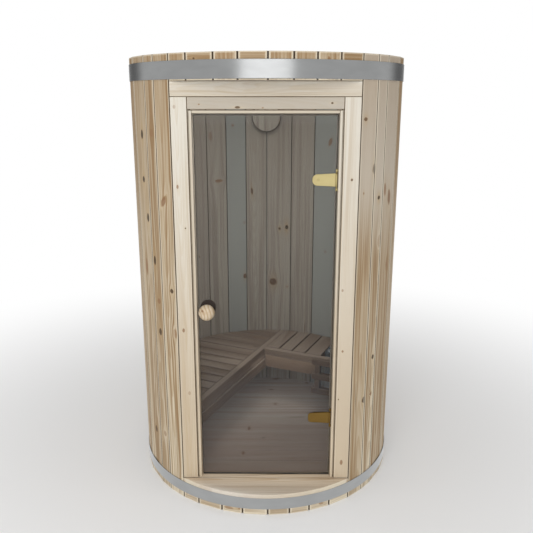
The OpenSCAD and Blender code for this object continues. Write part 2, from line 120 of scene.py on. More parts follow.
# %% Finishes
class Finish:
    """A material that is being written, or the world's light where that is given."""

    def __init__(self, name, world=None):
        self.material = world or bpy.data.materials.new(name)
        self.material.use_nodes = True
        self.tree = self.material.node_tree
        self.tree.nodes.clear()

    def node(self, kind, settings=None, sockets=None, out=0):
        """Adds a node: its type, its settings, and a value or a wire for each socket."""
        made = self.tree.nodes.new("ShaderNode" + kind)
        for name, value in (settings or {}).items():
            setattr(made, name, value)
        for name, value in (sockets or {}).items():
            if isinstance(value, Wire):
                self.tree.links.new(value.socket, made.inputs[name])
            else:
                made.inputs[name].default_value = value
        return Wire(self, made.outputs[out] if made.outputs else None)

    def attribute(self, name):
        """The four numbers that a piece's mesh carries under this name."""
        whole = self.node("Attribute", {"attribute_name": name}, out="Vector")
        parts = [self.node("SeparateXYZ", {}, {0: whole}, out=i) for i in range(3)]
        return parts + [Wire(self, whole.socket.node.outputs["Alpha"])]

    def place(self):
        """Where the point is: x, y and z in metres."""
        whole = self.node("TexCoord", {}, {}, "Object")
        return [self.node("SeparateXYZ", {}, {0: whole}, i) for i in range(3)]

    def noise(self, x, y, z, detail=2.0, rough=0.5):
        """Smooth noise from 0 to 1 at a point."""
        point = self.node("CombineXYZ", {}, {0: x, 1: y, 2: z})
        sockets = {"Vector": point, "Scale": 1.0, "Detail": detail, "Roughness": rough}
        return self.node("TexNoise", {}, sockets)

    def step(self, value, low, high):
        """0 below low, 1 above high, and a smooth rise between them."""
        sockets = {"Value": value, "From Min": low, "From Max": high}
        return self.node("MapRange", {"interpolation_type": "SMOOTHSTEP"}, sockets)

    def mix(self, share, first, second):
        """The first colour, with a share of the second laid over it."""
        pair = [(*c, 1.0) if isinstance(c, tuple) else c for c in (first, second)]
        return self.node("Mix", {"data_type": "RGBA"}, {0: share, 6: pair[0], 7: pair[1]}, out=2)

    def done(self, shader, bump=None, bump_m=0.0005):
        """Ends the material in a Principled shader, with a bump of the given height."""
        if bump is not None:
            shader["Normal"] = self.node("Bump", {}, {"Height": bump, "Distance": bump_m})
        surface = self.node("BsdfPrincipled", {}, shader)
        self.node("OutputMaterial", {}, {"Surface": surface})
        return self.material


trial = Finish("trial")
trial.done({"Roughness": 1 - trial.noise(0, 0, 0) * 0.5})
print("1 - noise * 0.5 made", [node.bl_label for node in trial.tree.nodes])
bpy.data.materials.remove(trial.material)

# %% [markdown]
# ## Wood
# Every board is sawn from its own log, so its mesh carries where each point lay in that log:
# across the board, in depth from the pith, and along the grain. Growth rings are then the
# distance to the pith, cut by the board's face, which draws the arches of a flat-sawn board
# and the arcs on its end grain without drawing either. Around a knot the fibres part like
# water round a post, so the across value is bent by the flow past a round post, and the
# rings bend with it. A picture of wood would repeat and would not meet at the edges.

# %% Wood finish
def wood_finish(name, pale, ring, streak, streaks=0.6, rings=0.5, ring_m=0.0034, edge=None,
                worn_and_lit=0.5, painted_foot_shade=0.0, rough=0.55, slots=3, sharp=(0.42, 0.66), bump_m=0.0006,
                groove_dark_from=(0.30, 0.60), groove_colour=(0.05, 0.032, 0.02), room_and_painted_colour=(0.36, 0.335, 0.30)):
    """Planed softwood. pale, ring and streak are the colours of the early wood, of the
    growth lines and of the broad brown bands; rings and streaks say how strongly the last
    two show, ring_m how far apart growth lines are and sharp how hard a band's edge is.
    worn_and_lit is how pale the arrises are, as worn wood and as a painted highlight;
    painted_foot_shade how far a board is painted darker and yellower towards its foot, a
    painted shade for light that falls off downwards; groove_dark_from where on the arris the
    painted shade and dirt of a joint's groove begin; and room_and_painted_colour the colour of
    the room side, which also paints a sheen on the sill and shade on the bench boards.
    Ring number = distance to the pith / ring_m + a slow wobble; its fraction rises gently
    through the early wood and drops at the late wood's edge."""
    f = Finish(name)
    across, depth, along, _ = f.attribute("grain")
    tint, shade, high, dull = f.attribute("board")
    inside, end, arris, joint = f.attribute("face")

    flow = across + (f.noise(across * 5, depth * 5, along * 1.1) - 0.5) * 0.03
    knots = black = halo = 0.0
    for key in KNOT_SLOTS[:slots]:
        kx, ky, size, strength = f.attribute(key)
        flow = flow - kx * size * 1.5 / (kx * kx + ky * ky * 0.3 + 0.7)
        radius = (kx * kx + ky * ky) ** 0.5
        radius = radius + (f.noise(kx * 1.3, ky * 1.3, along * 0) - 0.5) * 0.5
        spot = f.step(radius, 1.15, 0.75)
        knots = spot * f.step(strength, 0.0, 0.6) + knots
        black = spot * f.step(strength, 0.5, 0.95) + black
        tail = kx * kx * 0.7 + ky * ky * 0.12
        halo = strength / (1 + tail * 0.7) + halo

    drift = (f.noise(across * 2, depth, along * 0.45, 1.0) - 0.5) * 0.05
    pith = (flow * flow + (depth + drift) ** 2) ** 0.5
    wobble = f.noise(across * 30, depth * 30, along * 2.5, 3.0) * 0.6
    turn = f.node("Math", {"operation": "FRACT"}, {0: pith / ring_m + wobble})
    late = f.step(turn, 0.25, 0.9) * f.step(turn, 1.0, 0.93)

    broad = f.noise(flow * 34, depth * 16, along * 0.7, 2.0, 0.6)
    narrow = f.noise(flow * 110, depth * 40, along * 1.1, 2.0, 0.6)
    bands = f.step(broad * 0.5 + narrow * 0.5, *sharp)
    cloud = f.noise(across * 9, depth * 9, along * 2.2, 3.0)
    fibre = f.noise(across * 850, depth * 850, along * 9, 2.0)
    fleck = f.step(f.noise(flow * 420, depth * 420, along * 14, 1.0), 0.66, 0.78)

    bleach = f.step(tint, -0.4, -1.0) * f.step(high + inside, 0.55, 0.8)
    # the arris away from a joint is painted pale, as worn wood and as a painted highlight; the
    # groove at a joint is painted dark, as painted shade and dirt
    worn_and_lit_arris = f.step(joint, 0.6, 0.3) * (1 - inside)
    groove_dirt_and_shade = f.step(joint + inside * 0.15, *groove_dark_from)
    colour = f.mix(late * rings, pale, ring)
    for share, over in (
            (bands * streaks * (1 - bleach * 0.5), streak),
            (f.step(cloud, 0.5, 0.8) * 0.25, ring),
            (f.step(tint, 0.0, 1.0) * (inside * 0.25 + 0.12), (0.50, 0.34, 0.25)),  # pinkish
            (bleach * (0.9 - inside * 0.5), (0.81, 0.80, 0.73)),
            (f.step(shade, 0.0, -1.0) * (1 - bleach) * 0.4, streak),
            # darker and yellower towards a board's foot: painted shade, for the light that falls
            # off down the frame
            (f.step(high, 0.95, 0.1) * painted_foot_shade, (0.50, 0.36, 0.20)),
            (dull, streak),
            # paler at the foot under the lower band: painted light that lifts the shade there
            (f.step(high, 0.022, 0.016) * 0.3, edge or pale),  # the foot, under the lower band
            # the room side's colour; through other shares it also paints a sheen on the sill and
            # shade on the bench boards and the heater guard
            (inside * 0.6, room_and_painted_colour),
            (bleach * inside * 0.55, (0.33, 0.385, 0.375)),
            (fibre * 0.16 + fleck * 0.15, streak),
            (f.step(halo, 0.2, 1.1) * 0.7, ring),
            (knots * 0.75, (0.26, 0.13, 0.06)),
            (black * 0.9, (0.05, 0.036, 0.018)),  # the bark round a dead knot
            # paler arrises: worn wood, and a painted highlight where a rounded edge meets the light
            (worn_and_lit_arris * arris * worn_and_lit, edge or pale),
            # painted shade and dirt in the groove where two boards meet
            (groove_dirt_and_shade * 0.92, groove_colour),
            (end * 0.5, streak)):
        colour = f.mix(share, colour, over)

    shine = rough + fibre * 0.12 + bands * 0.08
    height = late * 0.35 + fibre * 0.4 - black * 0.5
    surface = {"Base Color": colour, "Roughness": shine, "Specular IOR Level": 0.3}
    return f.done(surface, height, bump_m)


KNOT_SLOTS = ("knot_a", "knot_b", "knot_c", "knot_d", "knot_e")
STAVE_WOOD = wood_finish(
    "stave_spruce", (0.74, 0.655, 0.50), (0.46, 0.33, 0.18), (0.29, 0.18, 0.085),
    streaks=0.95, rings=0.5, edge=(0.80, 0.73, 0.58), slots=5, worn_and_lit=0.6,
    sharp=(0.45, 0.58), groove_dark_from=(0.2, 0.5), room_and_painted_colour=(0.345, 0.355, 0.335))
FRAME_WOOD = wood_finish(
    "frame_spruce", (0.715, 0.685, 0.615), (0.58, 0.49, 0.34), (0.42, 0.31, 0.18),
    streaks=0.35, rings=0.25, edge=(0.74, 0.70, 0.58), painted_foot_shade=0.6, slots=5, rough=0.5,
    sharp=(0.48, 0.62), groove_dark_from=(0.25, 0.55), groove_colour=(0.17, 0.105, 0.05), worn_and_lit=0.3)
# the sill's edge colour is a highlight painted along its rounded front, and its room colour a sheen
# painted on the front of its top
SILL_WOOD = wood_finish(
    "sill_spruce", (0.62, 0.53, 0.41), (0.46, 0.32, 0.19), (0.36, 0.225, 0.12),
    streaks=0.85, rings=0.5, edge=(0.72, 0.64, 0.50), worn_and_lit=1.0, rough=0.42,
    room_and_painted_colour=(0.86, 0.83, 0.76))
FLOOR_WOOD = wood_finish(
    "deck_spruce", (0.54, 0.49, 0.42), (0.46, 0.38, 0.30), (0.42, 0.30, 0.23),
    streaks=0.8, rings=0.15, bump_m=0.00015, sharp=(0.44, 0.62))
# its near-black room colour paints shade on the bench boards and the heater guard
BENCH_WOOD = wood_finish(
    "bench_wood", (0.42, 0.34, 0.265), (0.30, 0.22, 0.155), (0.22, 0.15, 0.10),
    streaks=0.6, rings=0.3, edge=(0.50, 0.42, 0.34), bump_m=0.0003, groove_dark_from=(0.4, 0.9),
    room_and_painted_colour=(0.11, 0.08, 0.06))
BEARER_WOOD = wood_finish(
    "bearer_wood", (0.60, 0.48, 0.33), (0.42, 0.30, 0.17), (0.36, 0.24, 0.13))
KNOB_WOOD = wood_finish(
    "knob_pine", (0.74, 0.65, 0.50), (0.40, 0.26, 0.13), (0.38, 0.24, 0.12),
    streaks=0.4, rings=0.7, ring_m=0.013, rough=0.2)
# nearly black: painted shade for the inner knob, which sits in shadow behind the tinted glass
SHADED_KNOB_WOOD = wood_finish(
    "dark_wood", (0.085, 0.055, 0.038), (0.05, 0.03, 0.02), (0.04, 0.025, 0.018))
print("finishes", len(bpy.data.materials))

# %% [markdown]
# ## Softened solids
# Most of the cabin is boards, and no real board has a razor edge: each one is planed off to
# a small round arris, which is what catches the light along every joint. A board is made
# as one surface of two parameters. The first runs round its outline, whose corners are
# rounded by arcs; the second climbs through rings that step inwards near both ends.

# %% Rounded outlines
def rounded_loop(corners, radius, support, steps=4):
    """Corners of a closed outline, anticlockwise, made into a smooth loop.
    A corner that turns by t is cut back by radius * tan(t / 2) on both sides and joined by
    an arc: centre + radius * (sin((1 - s) t) u0 + sin(s t) u1) / sin(t), s from 0 to 1.
    Each straight side gets two more points, at distance support from its arcs.
    A corner that turns by less than 20 degrees is no arris, by 60 or more a whole one.
    Returns points, outward normals, arris weight and whether the next stretch is round."""
    corners = np.asarray(corners, float)
    back = np.roll(corners, 1, 0) - corners
    on = np.roll(corners, -1, 0) - corners
    back_len = np.linalg.norm(back, axis=1, keepdims=True)
    on_len = np.linalg.norm(on, axis=1, keepdims=True)
    back, on = back / back_len, on / on_len
    turn = np.pi - np.arccos(np.clip((back * on).sum(1, keepdims=True), -1, 1))
    outward = np.where(on[:, :1] * back[:, 1:] - on[:, 1:] * back[:, :1] > 0, 1.0, -1.0)
    radius = np.broadcast_to(np.reshape(radius, (-1, 1)), turn.shape)
    reach = np.minimum(radius * np.tan(turn / 2), 0.49 * np.minimum(back_len, on_len))
    radius = reach / np.tan(turn / 2)
    middle = (back + on) / np.linalg.norm(back + on, axis=1, keepdims=True)
    centre = corners + middle * radius / np.cos(turn / 2)
    first, last = corners + back * reach, corners + on * reach

    s = np.linspace(0, 1, steps + 1)[None, :, None]
    t = turn[:, :, None]
    u0, u1 = ((p - centre)[:, None] / radius[:, :, None] for p in (first, last))
    aim = (np.sin((1 - s) * t) * u0 + np.sin(s * t) * u1) / np.sin(t)
    arcs = centre[:, None] + radius[:, :, None] * aim

    gap = np.roll(first, -1, 0) - last
    hold = np.minimum(support, 0.3 * np.linalg.norm(gap, axis=1, keepdims=True))
    flats = np.stack([last + on * hold, np.roll(first, -1, 0) - on * hold], 1)
    side = np.stack([on[:, 1], -on[:, 0]], 1)[:, None].repeat(2, 1)
    weight = np.clip((np.degrees(turn) - 20) / 40, 0, 1)

    points = np.concatenate([arcs, flats], 1).reshape(-1, 2)
    normals = np.concatenate([aim * outward[:, :, None], side], 1).reshape(-1, 2)
    arris = np.concatenate([weight.repeat(steps + 1, 1), np.zeros((len(corners), 2))], 1)
    round_next = np.tile(np.arange(steps + 3) < steps, len(corners))
    return points, normals, arris.ravel(), round_next


def plain_loop(corners, radius, support, steps=4):
    """A rounded loop without arris weights, for glass and metal."""
    points, normals, _, round_next = rounded_loop(corners, radius, support, steps)
    return points, normals, np.zeros((len(points), 2)), round_next


def circle_loop(radius, count):
    """A circle: (radius cos a, radius sin a), with its normals."""
    a = np.arange(count) * 2 * np.pi / count
    aim = np.stack([np.cos(a), np.sin(a)], 1)
    return aim * radius, aim, np.zeros((count, 2)), np.ones(count, bool)


sample = plain_loop([(0, 0), (1, 0), (1, 1), (0, 1)], 0.1, 0.05)
print("a square with rounded corners has", len(sample[0]), "points")

# %% Rings and shells
FACE_SUPPORT = 0.0005  # how far an arris shows on an end face


def end_rings(low, high, soften, support, joint=0.0):
    """Rings of a board between two heights: a quarter round of radius soften at both ends,
    inset = soften * (1 - sin a) at height soften * (1 - cos a), and support rings beside it,
    which stay close to the edge on the end face, where rounded corners leave little room.
    Returns inset, height, arris and joint weights and whether the next stretch is round."""
    a = np.linspace(0, np.pi / 2, 4)
    inset, rise = soften * (1 - np.sin(a)), soften * (1 - np.cos(a))
    inset = np.concatenate([[soften + min(support, FACE_SUPPORT)], inset, [0]])
    rise = np.concatenate([[0], rise, [soften + support]])
    weights = np.array([[0, 1, 1, 1, 1, 0], [0, 1, 0.67, 0.33, 0, 0]]).T * [1, joint]
    round_next = np.array([0, 1, 1, 1, 0, 0, 0, 1, 1, 1, 0, 0], bool)
    height = np.concatenate([low + rise, high - rise[::-1]])
    weights = np.concatenate([weights, weights[::-1]])
    return np.concatenate([inset, inset[::-1]]), height, weights, round_next


def plain_rings(inset, height, smooth=True):
    """Rings at these insets and heights without weights, all of them smooth or all flat."""
    count = len(inset)
    inset, height = np.asarray(inset, float), np.asarray(height, float)
    return inset, height, np.zeros((count, 2)), np.full(count, smooth)


def ring_faces(n, m, closed=False):
    """Faces between m rings of n points, and over both ends where the rings stay open,
    with the point and the ring that each four-sided face starts from."""
    i, j = np.meshgrid(np.arange(n), np.arange(m if closed else m - 1))
    i_next, j_next = (i + 1) % n, (j + 1) % m
    quads = np.stack([j * n + i, j * n + i_next, j_next * n + i_next, j_next * n + i], -1)
    faces = quads.reshape(-1, 4).tolist()
    if not closed:
        faces += [list(range(n))[::-1], list(range((m - 1) * n, m * n))]
    return faces, i, j


def shell(loop, rings, closed=False):
    """The surface P(i, j) = (loop_i - inset_j * normal_i, height_j) for loop point i and
    ring j, where the inset stops at the centre of an arc, so that no corner folds over.
    Its ends are closed by one flat face each, or ring to ring where closed is set.
    Returns points, faces, whether each face is smooth, and each point's two weights."""
    points, normals, weights, round_next = loop
    inset, height, ring_weights, ring_round = rings
    n, m = len(points), len(inset)
    step, bend = np.roll(points, -1, 0) - points, np.roll(normals, -1, 0) - normals
    swing = (step * bend).sum(1)
    tiny = 1e-9
    radius = np.where(swing > tiny, (step ** 2).sum(1) / np.maximum(swing, tiny), np.inf)
    most = np.minimum(radius, np.roll(radius, 1))
    flat = points[None] - np.minimum(inset[:, None], most)[:, :, None] * normals[None]
    solid = np.concatenate([flat, np.broadcast_to(height[:, None, None], (m, n, 1))], 2)
    faces, i, j = ring_faces(n, m, closed)
    smooth = (round_next[i] | ring_round[j]).ravel()
    if not closed:
        smooth = np.append(smooth, [False, False])
    weights = np.maximum(weights[None], ring_weights[:, None])
    return solid.reshape(-1, 3), faces, smooth, weights.reshape(-1, 2)


def turned(part, origin, axes):
    """A part moved from its own axes to the cabin's: origin + x * axes[0] + y * axes[1]..."""
    return (part[0] @ np.asarray(axes, float) + np.asarray(origin, float), *part[1:])


block = shell(sample, end_rings(0, 1, 0.1, 0.05))
print("a softened block has", len(block[0]), "points and", len(block[1]), "faces")

# %% One piece
def piece(name, parts, finish, nodes, body="cabin", marks=None):
    """One object from several parts. marks holds, for each part, its named point values."""
    starts = np.cumsum([0] + [len(part[0]) for part in parts])
    faces = [[v + start for v in face] for part, start in zip(parts, starts) for face in part[1]]
    mesh = bpy.data.meshes.new(name)
    mesh.from_pydata(np.concatenate([part[0] for part in parts]).tolist(), [], faces)
    mesh.polygons.foreach_set("use_smooth", np.concatenate([part[2] for part in parts]))
    for key in marks[0] if marks else ():
        values = np.concatenate([mark[key] for mark in marks]).astype(np.float32)
        mesh.attributes.new(key, "FLOAT_COLOR", "POINT").data.foreach_set("color", values.ravel())
    mesh.materials.append(finish)
    mesh.validate()
    made = bpy.data.objects.new(name, mesh)
    bpy.context.scene.collection.objects.link(made)
    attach(made, body)
    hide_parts(*nodes)
    print(f"{name}: {len(parts)} parts, {len(mesh.polygons)} faces")
    return made


print("the CAD model has", len(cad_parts), "nodes to take the place of")

# %% [markdown]
# ## Where the boards are
# The frame already holds every board at its real place, as a bare prism. Its top face is
# the board's plan, so the corners are read from there, and the new board is built on them.

# %% Plans of the boards
SHORT_SIDE = 0.008


def plans(node):
    """For each upright prism of a CAD node: its corners anticlockwise, and its lowest and
    highest z."""
    solid = bmesh.new()
    solid.from_mesh(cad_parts[node].data)
    bmesh.ops.remove_doubles(solid, verts=solid.verts, dist=1e-5)
    bmesh.ops.dissolve_limit(
        solid, angle_limit=math.radians(1), verts=solid.verts, edges=solid.edges)
    found = []
    for face in solid.faces:
        if face.normal.z > 0.99:
            corners = np.array([v.co.xy for v in face.verts])
            ends = [e.other_vert(v).co.z for v in face.verts for e in v.link_edges]
            high = face.verts[0].co.z
            found.append((corners, max(z for z in ends if z < high - 1e-4), high))
    solid.free()
    return found


def squared(corners, shorter_than):
    """The outline without its short cut corners: the sides beside each one are carried on
    until they meet."""
    ahead = np.roll(corners, -1, 0)
    keep = np.linalg.norm(ahead - corners, axis=1) > shorter_than
    start, aim = corners[keep], (ahead - corners)[keep]
    before, way = np.roll(start, 1, 0), np.roll(aim, 1, 0)
    offset = start - before
    share = (offset[:, 0] * aim[:, 1] - offset[:, 1] * aim[:, 0]) / (
        way[:, 0] * aim[:, 1] - way[:, 1] * aim[:, 0])
    return before + way * share[:, None]


def eased(outline):
    """A plan without the corners that have a side shorter than SHORT_SIDE after them."""
    return outline[np.hypot(*(np.roll(outline, -1, 0) - outline).T) > SHORT_SIDE]


def strips(corners, edges):
    """A plan cut along lines of constant y into strips, for boards that lie side by side:
    where a side crosses a line, at a + (b - a) da / (da - db), the strip gets a corner."""
    cut = []
    for low, high in zip(edges[:-1], edges[1:]):
        outline = corners
        for limit, sign in ((low, 1), (high, -1)):
            inside = sign * (outline[:, 1] - limit)
            points = []
            for k in range(len(outline)):
                a, b = outline[k - 1], outline[k]
                da, db = inside[k - 1], inside[k]
                if da * db < 0:
                    points.append(a + (b - a) * da / (da - db))
                if db >= 0:
                    points.append(b)
            outline = np.array(points)
        cut.append(eased(outline))
    return cut


print("boards in the back wall", len(plans("back_staves")))

# %% [markdown]
# ## Knots
# A knot is a branch that the saw cut through, so it sits at one place and shows on both
# faces of a board. The ones that give this cabin its look are listed; every other board
# gets its own from a seeded draw. A board carries five at most, each as the place of a
# point measured in that knot's own width and length, which stays exact on any mesh.

# %% Knots listed
STAVE_MIDDLE = 0.632  # radius of the ring's middle line
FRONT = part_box("left_jamb")[0].y
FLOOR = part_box("floor_deck")[1].z


def on_ring(bearing, height):
    """A point in the stave ring, at degrees from the front towards the right."""
    a = math.radians(bearing)
    return (STAVE_MIDDLE * math.sin(a), -STAVE_MIDDLE * math.cos(a), height)


# bearing (degrees) and height (m), half width and half length (mm), darkness, lean (degrees)
STAVE_KNOTS = (
    (-58.5, 1.72, 14, 20, 0.95, 0), (-59, 1.52, 14, 14, 1.0, 0), (-56, 1.35, 14, 20, 1.0, 0),
    (-60.5, 1.11, 14, 40, 0.5, 4), (-58.5, 0.27, 14, 18, 0.8, 0), (-68.5, 1.69, 14, 16, 0.35, 0),
    (-69.5, 0.25, 14, 16, 0.4, 0), (-49.5, 1.73, 14, 18, 0.35, 0), (-51.5, 1.16, 10, 22, 0.9, 0),
    (-49.5, 0.97, 14, 14, 0.55, 0), (-49.5, 0.82, 12, 18, 0.85, 0), (-49.5, 0.29, 14, 15, 0.35, 0),
    (-43.5, 1.44, 14, 24, 0.6, -28), (-40.5, 1.04, 12, 11, 0.85, 0), (-39.5, 0.84, 14, 22, 0.3, 0),
    (40, 1.79, 12, 8, 0.75, 0), (40.5, 1.48, 4, 5, 0.6, 0), (40.5, 0.52, 1.6, 85, 0.8, 0),
    (46, 0.49, 14, 16, 0.85, 0), (46.3, 1.58, 10, 22, 0.85, 0), (50.5, 1.45, 10, 9, 0.9, 0),
    (51.5, 0.69, 10, 12, 0.9, 0), (51, 0.5, 10, 8, 0.6, 0), (52.5, 1.25, 17, 30, 0.3, 0),
    (55.5, 1.48, 14, 30, 0.55, 6), (60.5, 1.44, 17, 36, 0.65, 6), (62, 1.12, 14, 16, 0.35, 0),
    (212, 1.66, 14, 26, 0.3, 0), (207.5, 1.4, 26, 9, 0.5, 0), (199, 1.72, 8, 7, 0.5, 0),
    (144, 1.63, 12, 24, 0.5, 20), (193, 1.14, 11, 10, 0.3, 0), (193, 0.8, 11, 16, 0.7, 0),
    (176.5, 0.76, 24, 22, 0.75, 0), (169, 1.11, 10, 13, 1.0, 0), (173, 1.1, 8, 8, 0.8, 0),
    (168.5, 0.73, 8, 3, 0.6, 0), (145.5, 0.98, 10, 10, 0.3, 0), (157.5, 0.47, 2, 40, 0.7, 0))
# place across and height (m), half width and half length (mm), darkness, lean (degrees)
FRAME_KNOTS = (
    (-0.377, 1.84, 6, 8, 0.3, 0), (-0.375, 1.51, 5, 9, 0.55, 0), (-0.347, 1.33, 3, 3, 0.95, 0),
    (-0.371, 0.86, 6, 10, 0.6, 0), (-0.354, 0.55, 7, 10, 0.3, 0), (-0.361, 0.4, 9, 14, 0.45, 20),
    (-0.36, 0.24, 6, 9, 0.4, 0), (-0.275, 1.85, 3, 4, 0.6, 0), (-0.116, 1.838, 5, 11, 0.8, 0),
    (-0.012, 1.836, 3, 5, 0.45, 0), (0.274, 1.855, 4, 5, 0.85, 0), (-0.06, 1.925, 18, 40, 0.12, 0),
    (0.365, 1.54, 5, 6, 0.75, 0), (0.341, 1.05, 5, 7, 0.4, 0), (0.35, 0.76, 5, 6, 0.6, 0),
    (0.338, 0.52, 3, 4, 0.8, 0), (0.361, 0.19, 7, 14, 0.6, 0))
# place across and back (m), half width and half length (mm), darkness, lean (degrees)
FLOOR_KNOTS = (
    (-0.096, -0.035, 24, 8, 0.6, 0), (-0.118, -0.29, 20, 8, 0.5, 0), (0.051, 0.253, 16, 12, 0.4, 0),
    (0.166, 0.091, 10, 60, 0.3, 0), (0.134, -0.336, 5, 18, 0.35, 0))
HAND_KNOTS = (
    [(on_ring(bearing, z), *rest) for bearing, z, *rest in STAVE_KNOTS]
    + [((x, FRONT, z), *rest) for x, z, *rest in FRAME_KNOTS]
    + [((x, y, FLOOR), *rest) for x, y, *rest in FLOOR_KNOTS])
print("knots set by hand", len(HAND_KNOTS))

# %% Knots of one board
KNOT_MARGIN = (0.004, 0.02, 0.004)  # how far past a board's faces its knots are looked for
NARROW = 0.035  # a narrower board is sawn clear of knots


def knots_on(origin, axes, spans, rng):
    """Up to five knots on a board, as rows of across, along, half width, half length,
    darkness, lean: those listed that lie in it, or else up to three drawn at random."""
    across, depth, along = axes
    rows = []
    for where, wide, long, dark, lean in HAND_KNOTS:
        local = np.array(where) - origin
        reach = [abs(local @ axis) for axis in (across, depth, along)]
        if all(r < span / 2 + more for r, span, more in zip(reach, spans, KNOT_MARGIN)):
            rows.append((local @ across, local @ along, wide / 1000, long / 1000, dark,
                         math.radians(lean)))
    draws = rng.uniform(size=(3, 5))
    count = 0 if rows else int(draws[0, 4] * 3.5)
    for a, b, c, d, e in draws[:count]:
        if spans[0] > NARROW:
            wide = 0.003 + 0.005 * c
            rows.append(((a - 0.5) * spans[0] * 0.8, (b - 0.5) * spans[2] * 0.95,
                         wide, wide * (1.2 + 2 * d), 0.3 + 0.6 * a, (c - d) * 0.5))
    return rows[:len(KNOT_SLOTS)]


SAW_CUT = 0.0012  # how deep end grain shows past a board's end


def wood_marks(points, weights, origin, axes, spans, rng, inside=0.0, tone=None, dull=0.0):
    """What the wood finish reads at each point of a board: its place in the log, whose
    pith lies 3 to 12 cm from the board; the board's tint, shade, height in the cabin and
    darkening, which on the bench boards, the guard and the floor by the door is painted shade;
    how far it takes the room side's colour, which also paints a sheen on the sill and shade on
    the bench boards; whether it lies on end grain, an arris or a joint; and its place against
    up to five knots. Only a board with a tone of its own is bleached."""
    across, depth, along = axes
    local = points - origin
    x, y, z = (local @ axis for axis in (across, depth, along))
    none, one = np.zeros(len(x)), np.ones(len(x))
    side, deep, lean, slide, tint, shade = rng.uniform(-1, 1, 6)
    tint = max(tint, -0.4) if tone is None else tone
    pith = y + math.copysign(0.03 + 0.09 * abs(deep), deep) + z * lean * 0.02
    end = np.clip(1 - (spans[2] / 2 - np.abs(z)) / SAW_CUT, 0, 1)
    marks = {
        "grain": np.stack([x + side * 0.03, pith, z + slide * 40, none], 1),
        "board": np.stack([one * tint, one * shade, points[:, 2] / 2,
                           dull(points) if callable(dull) else one * dull], 1),
        "face": np.stack([one * inside, end, weights[:, 0], weights[:, 1]], 1),
    }
    rows = knots_on(origin, axes, spans, rng)
    away = (9.0, 0, 0.01, 0.01, 0, 0)  # no knot: faint, and metres off
    for key, row in zip(KNOT_SLOTS, rows + [away] * len(KNOT_SLOTS)):
        dx, dz, wide, long, dark, turn = x - row[0], z - row[1], *row[2:]
        kx = (dx * math.cos(turn) + dz * math.sin(turn)) / wide
        ky = (dz * math.cos(turn) - dx * math.sin(turn)) / long
        marks[key] = np.stack([kx, ky, one * wide, one * dark], 1)
    return marks


# %% [markdown]
# ## Boards
# A board's grain runs along its longest side. Its other two sides are its width and its
# thickness, so the saw cut follows from the plan alone and no board needs to be told.
# Where two boards meet, the groove between their arrises is painted darker, for the dust
# that settles there and the shade that falls into it: a joint weight rises round each arc,
# from none at the face that is seen to one where the boards touch.

# %% One board
def board(corners, low, high, arris, rng, ends=0.0015, support=0.006, joints=(0, 0),
          seen=(0, 1), inside=None, tone=None, dull=0.0, painted_rim_highlight=False):
    """A board on a plan between two heights, with its marks for the wood finish. ends is
    the round at its two end faces, and seen the way its best face looks. The joint weight
    of an arc with normal n is arccos |n . seen| / 90 degrees; inside and darken are shares,
    and painted_rim_highlight paints the whole rim pale like an arris, a painted highlight."""
    sides = np.roll(corners, -1, 0) - corners
    longest = sides[np.argmax(np.hypot(*sides.T))]
    length = np.append(longest / np.hypot(*longest), 0)
    axes = np.array([length, [-length[1], length[0], 0], [0, 0, 1]])
    box = np.concatenate([np.c_[corners, np.full(len(corners), z)] for z in (low, high)])
    reach = box @ axes.T
    spans, middle = np.ptp(reach, 0), (reach.max(0) + reach.min(0)) / 2
    origin = middle @ axes
    order = np.argsort(spans)
    if order[0] == 2 and spans[order[1]] < 1.2 * spans[2]:  # nearly square: thick is level
        order[:2] = order[1], order[0]
    support = min(support, 0.25 * min(spans))

    points, normals, weight, round_next = rounded_loop(corners, arris, support)
    turned_off = np.arccos(np.clip(np.abs(normals @ np.asarray(seen)), 0, 1)) / (np.pi / 2)
    weights = np.stack([weight, weight * turned_off * joints[0]], 1)
    rings = end_rings(low, high, ends, support, joints[1])
    if painted_rim_highlight:
        rings[2][1:-1, 0] = 1
    part = shell((points, normals, weights, round_next), rings)
    axes, spans = axes[[order[1], order[0], order[2]]], spans[[order[1], order[0], order[2]]]
    facing = 0.0 if inside is None else inside(part[0])
    return part, wood_marks(part[0], part[3], origin, axes, spans, rng, facing, tone, dull)


def everywhere(share):
    """The same share at every point of a board."""
    return lambda points: np.full(len(points), share)


def timber(node, finish, slot, arris, seed, outlines=None, **more):
    """A node's boards as one piece. arris is a radius, or a function of the corners."""
    rng = np.random.default_rng(seed)
    outlines = outlines or plans(node)
    made = [board(*outline, arris(outline[0]) if callable(arris) else arris, rng, **more)
            for outline in outlines]
    parts, marks = zip(*made)
    return piece(node + "_wood", parts, finish, [node], marks=marks)


# %% [markdown]
# ## Staves
# The staves are planed to a wedge so that they close into a ring, and their arrises are
# rounded: side by side, two of them make the soft groove at every joint. Light has yellowed
# the outside; steam has greyed the room side, where one board differs from the next in tint.

# %% Staves
OUTER_ARRIS = 0.0045
FRONT_ARRIS = 1.5 * OUTER_ARRIS  # of the short staves over and under the front
INNER_ARRIS = 0.004
TIGHT = 0.001  # where a stave butts against a jamb
CUT_CORNER = 0.005  # the frame's own bevels are shorter, and make way for round ones
JAMB_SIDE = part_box("right_jamb")[1].x
BAND_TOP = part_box("top_band")[1].z
STAVE_NODES = (
    "back_staves", "left_rear_staves", "left_front_staves", "right_front_staves",
    "right_rear_staves", "front_top_staves", "front_bottom_staves")
# bearing of a stave's middle, and its tint from bleached -1 to pinkish 1
TINTS = (
    (40, -0.9), (48, -1.0), (56, -0.9), (64, -0.9), (147, -1.0), (160, 0.35), (173, 0.4),
    (186, 0.0), (197, -0.9), (209, 0.2), (219, 1.0), (229, 0.6))
HALF_STAVE = 4.5  # degrees


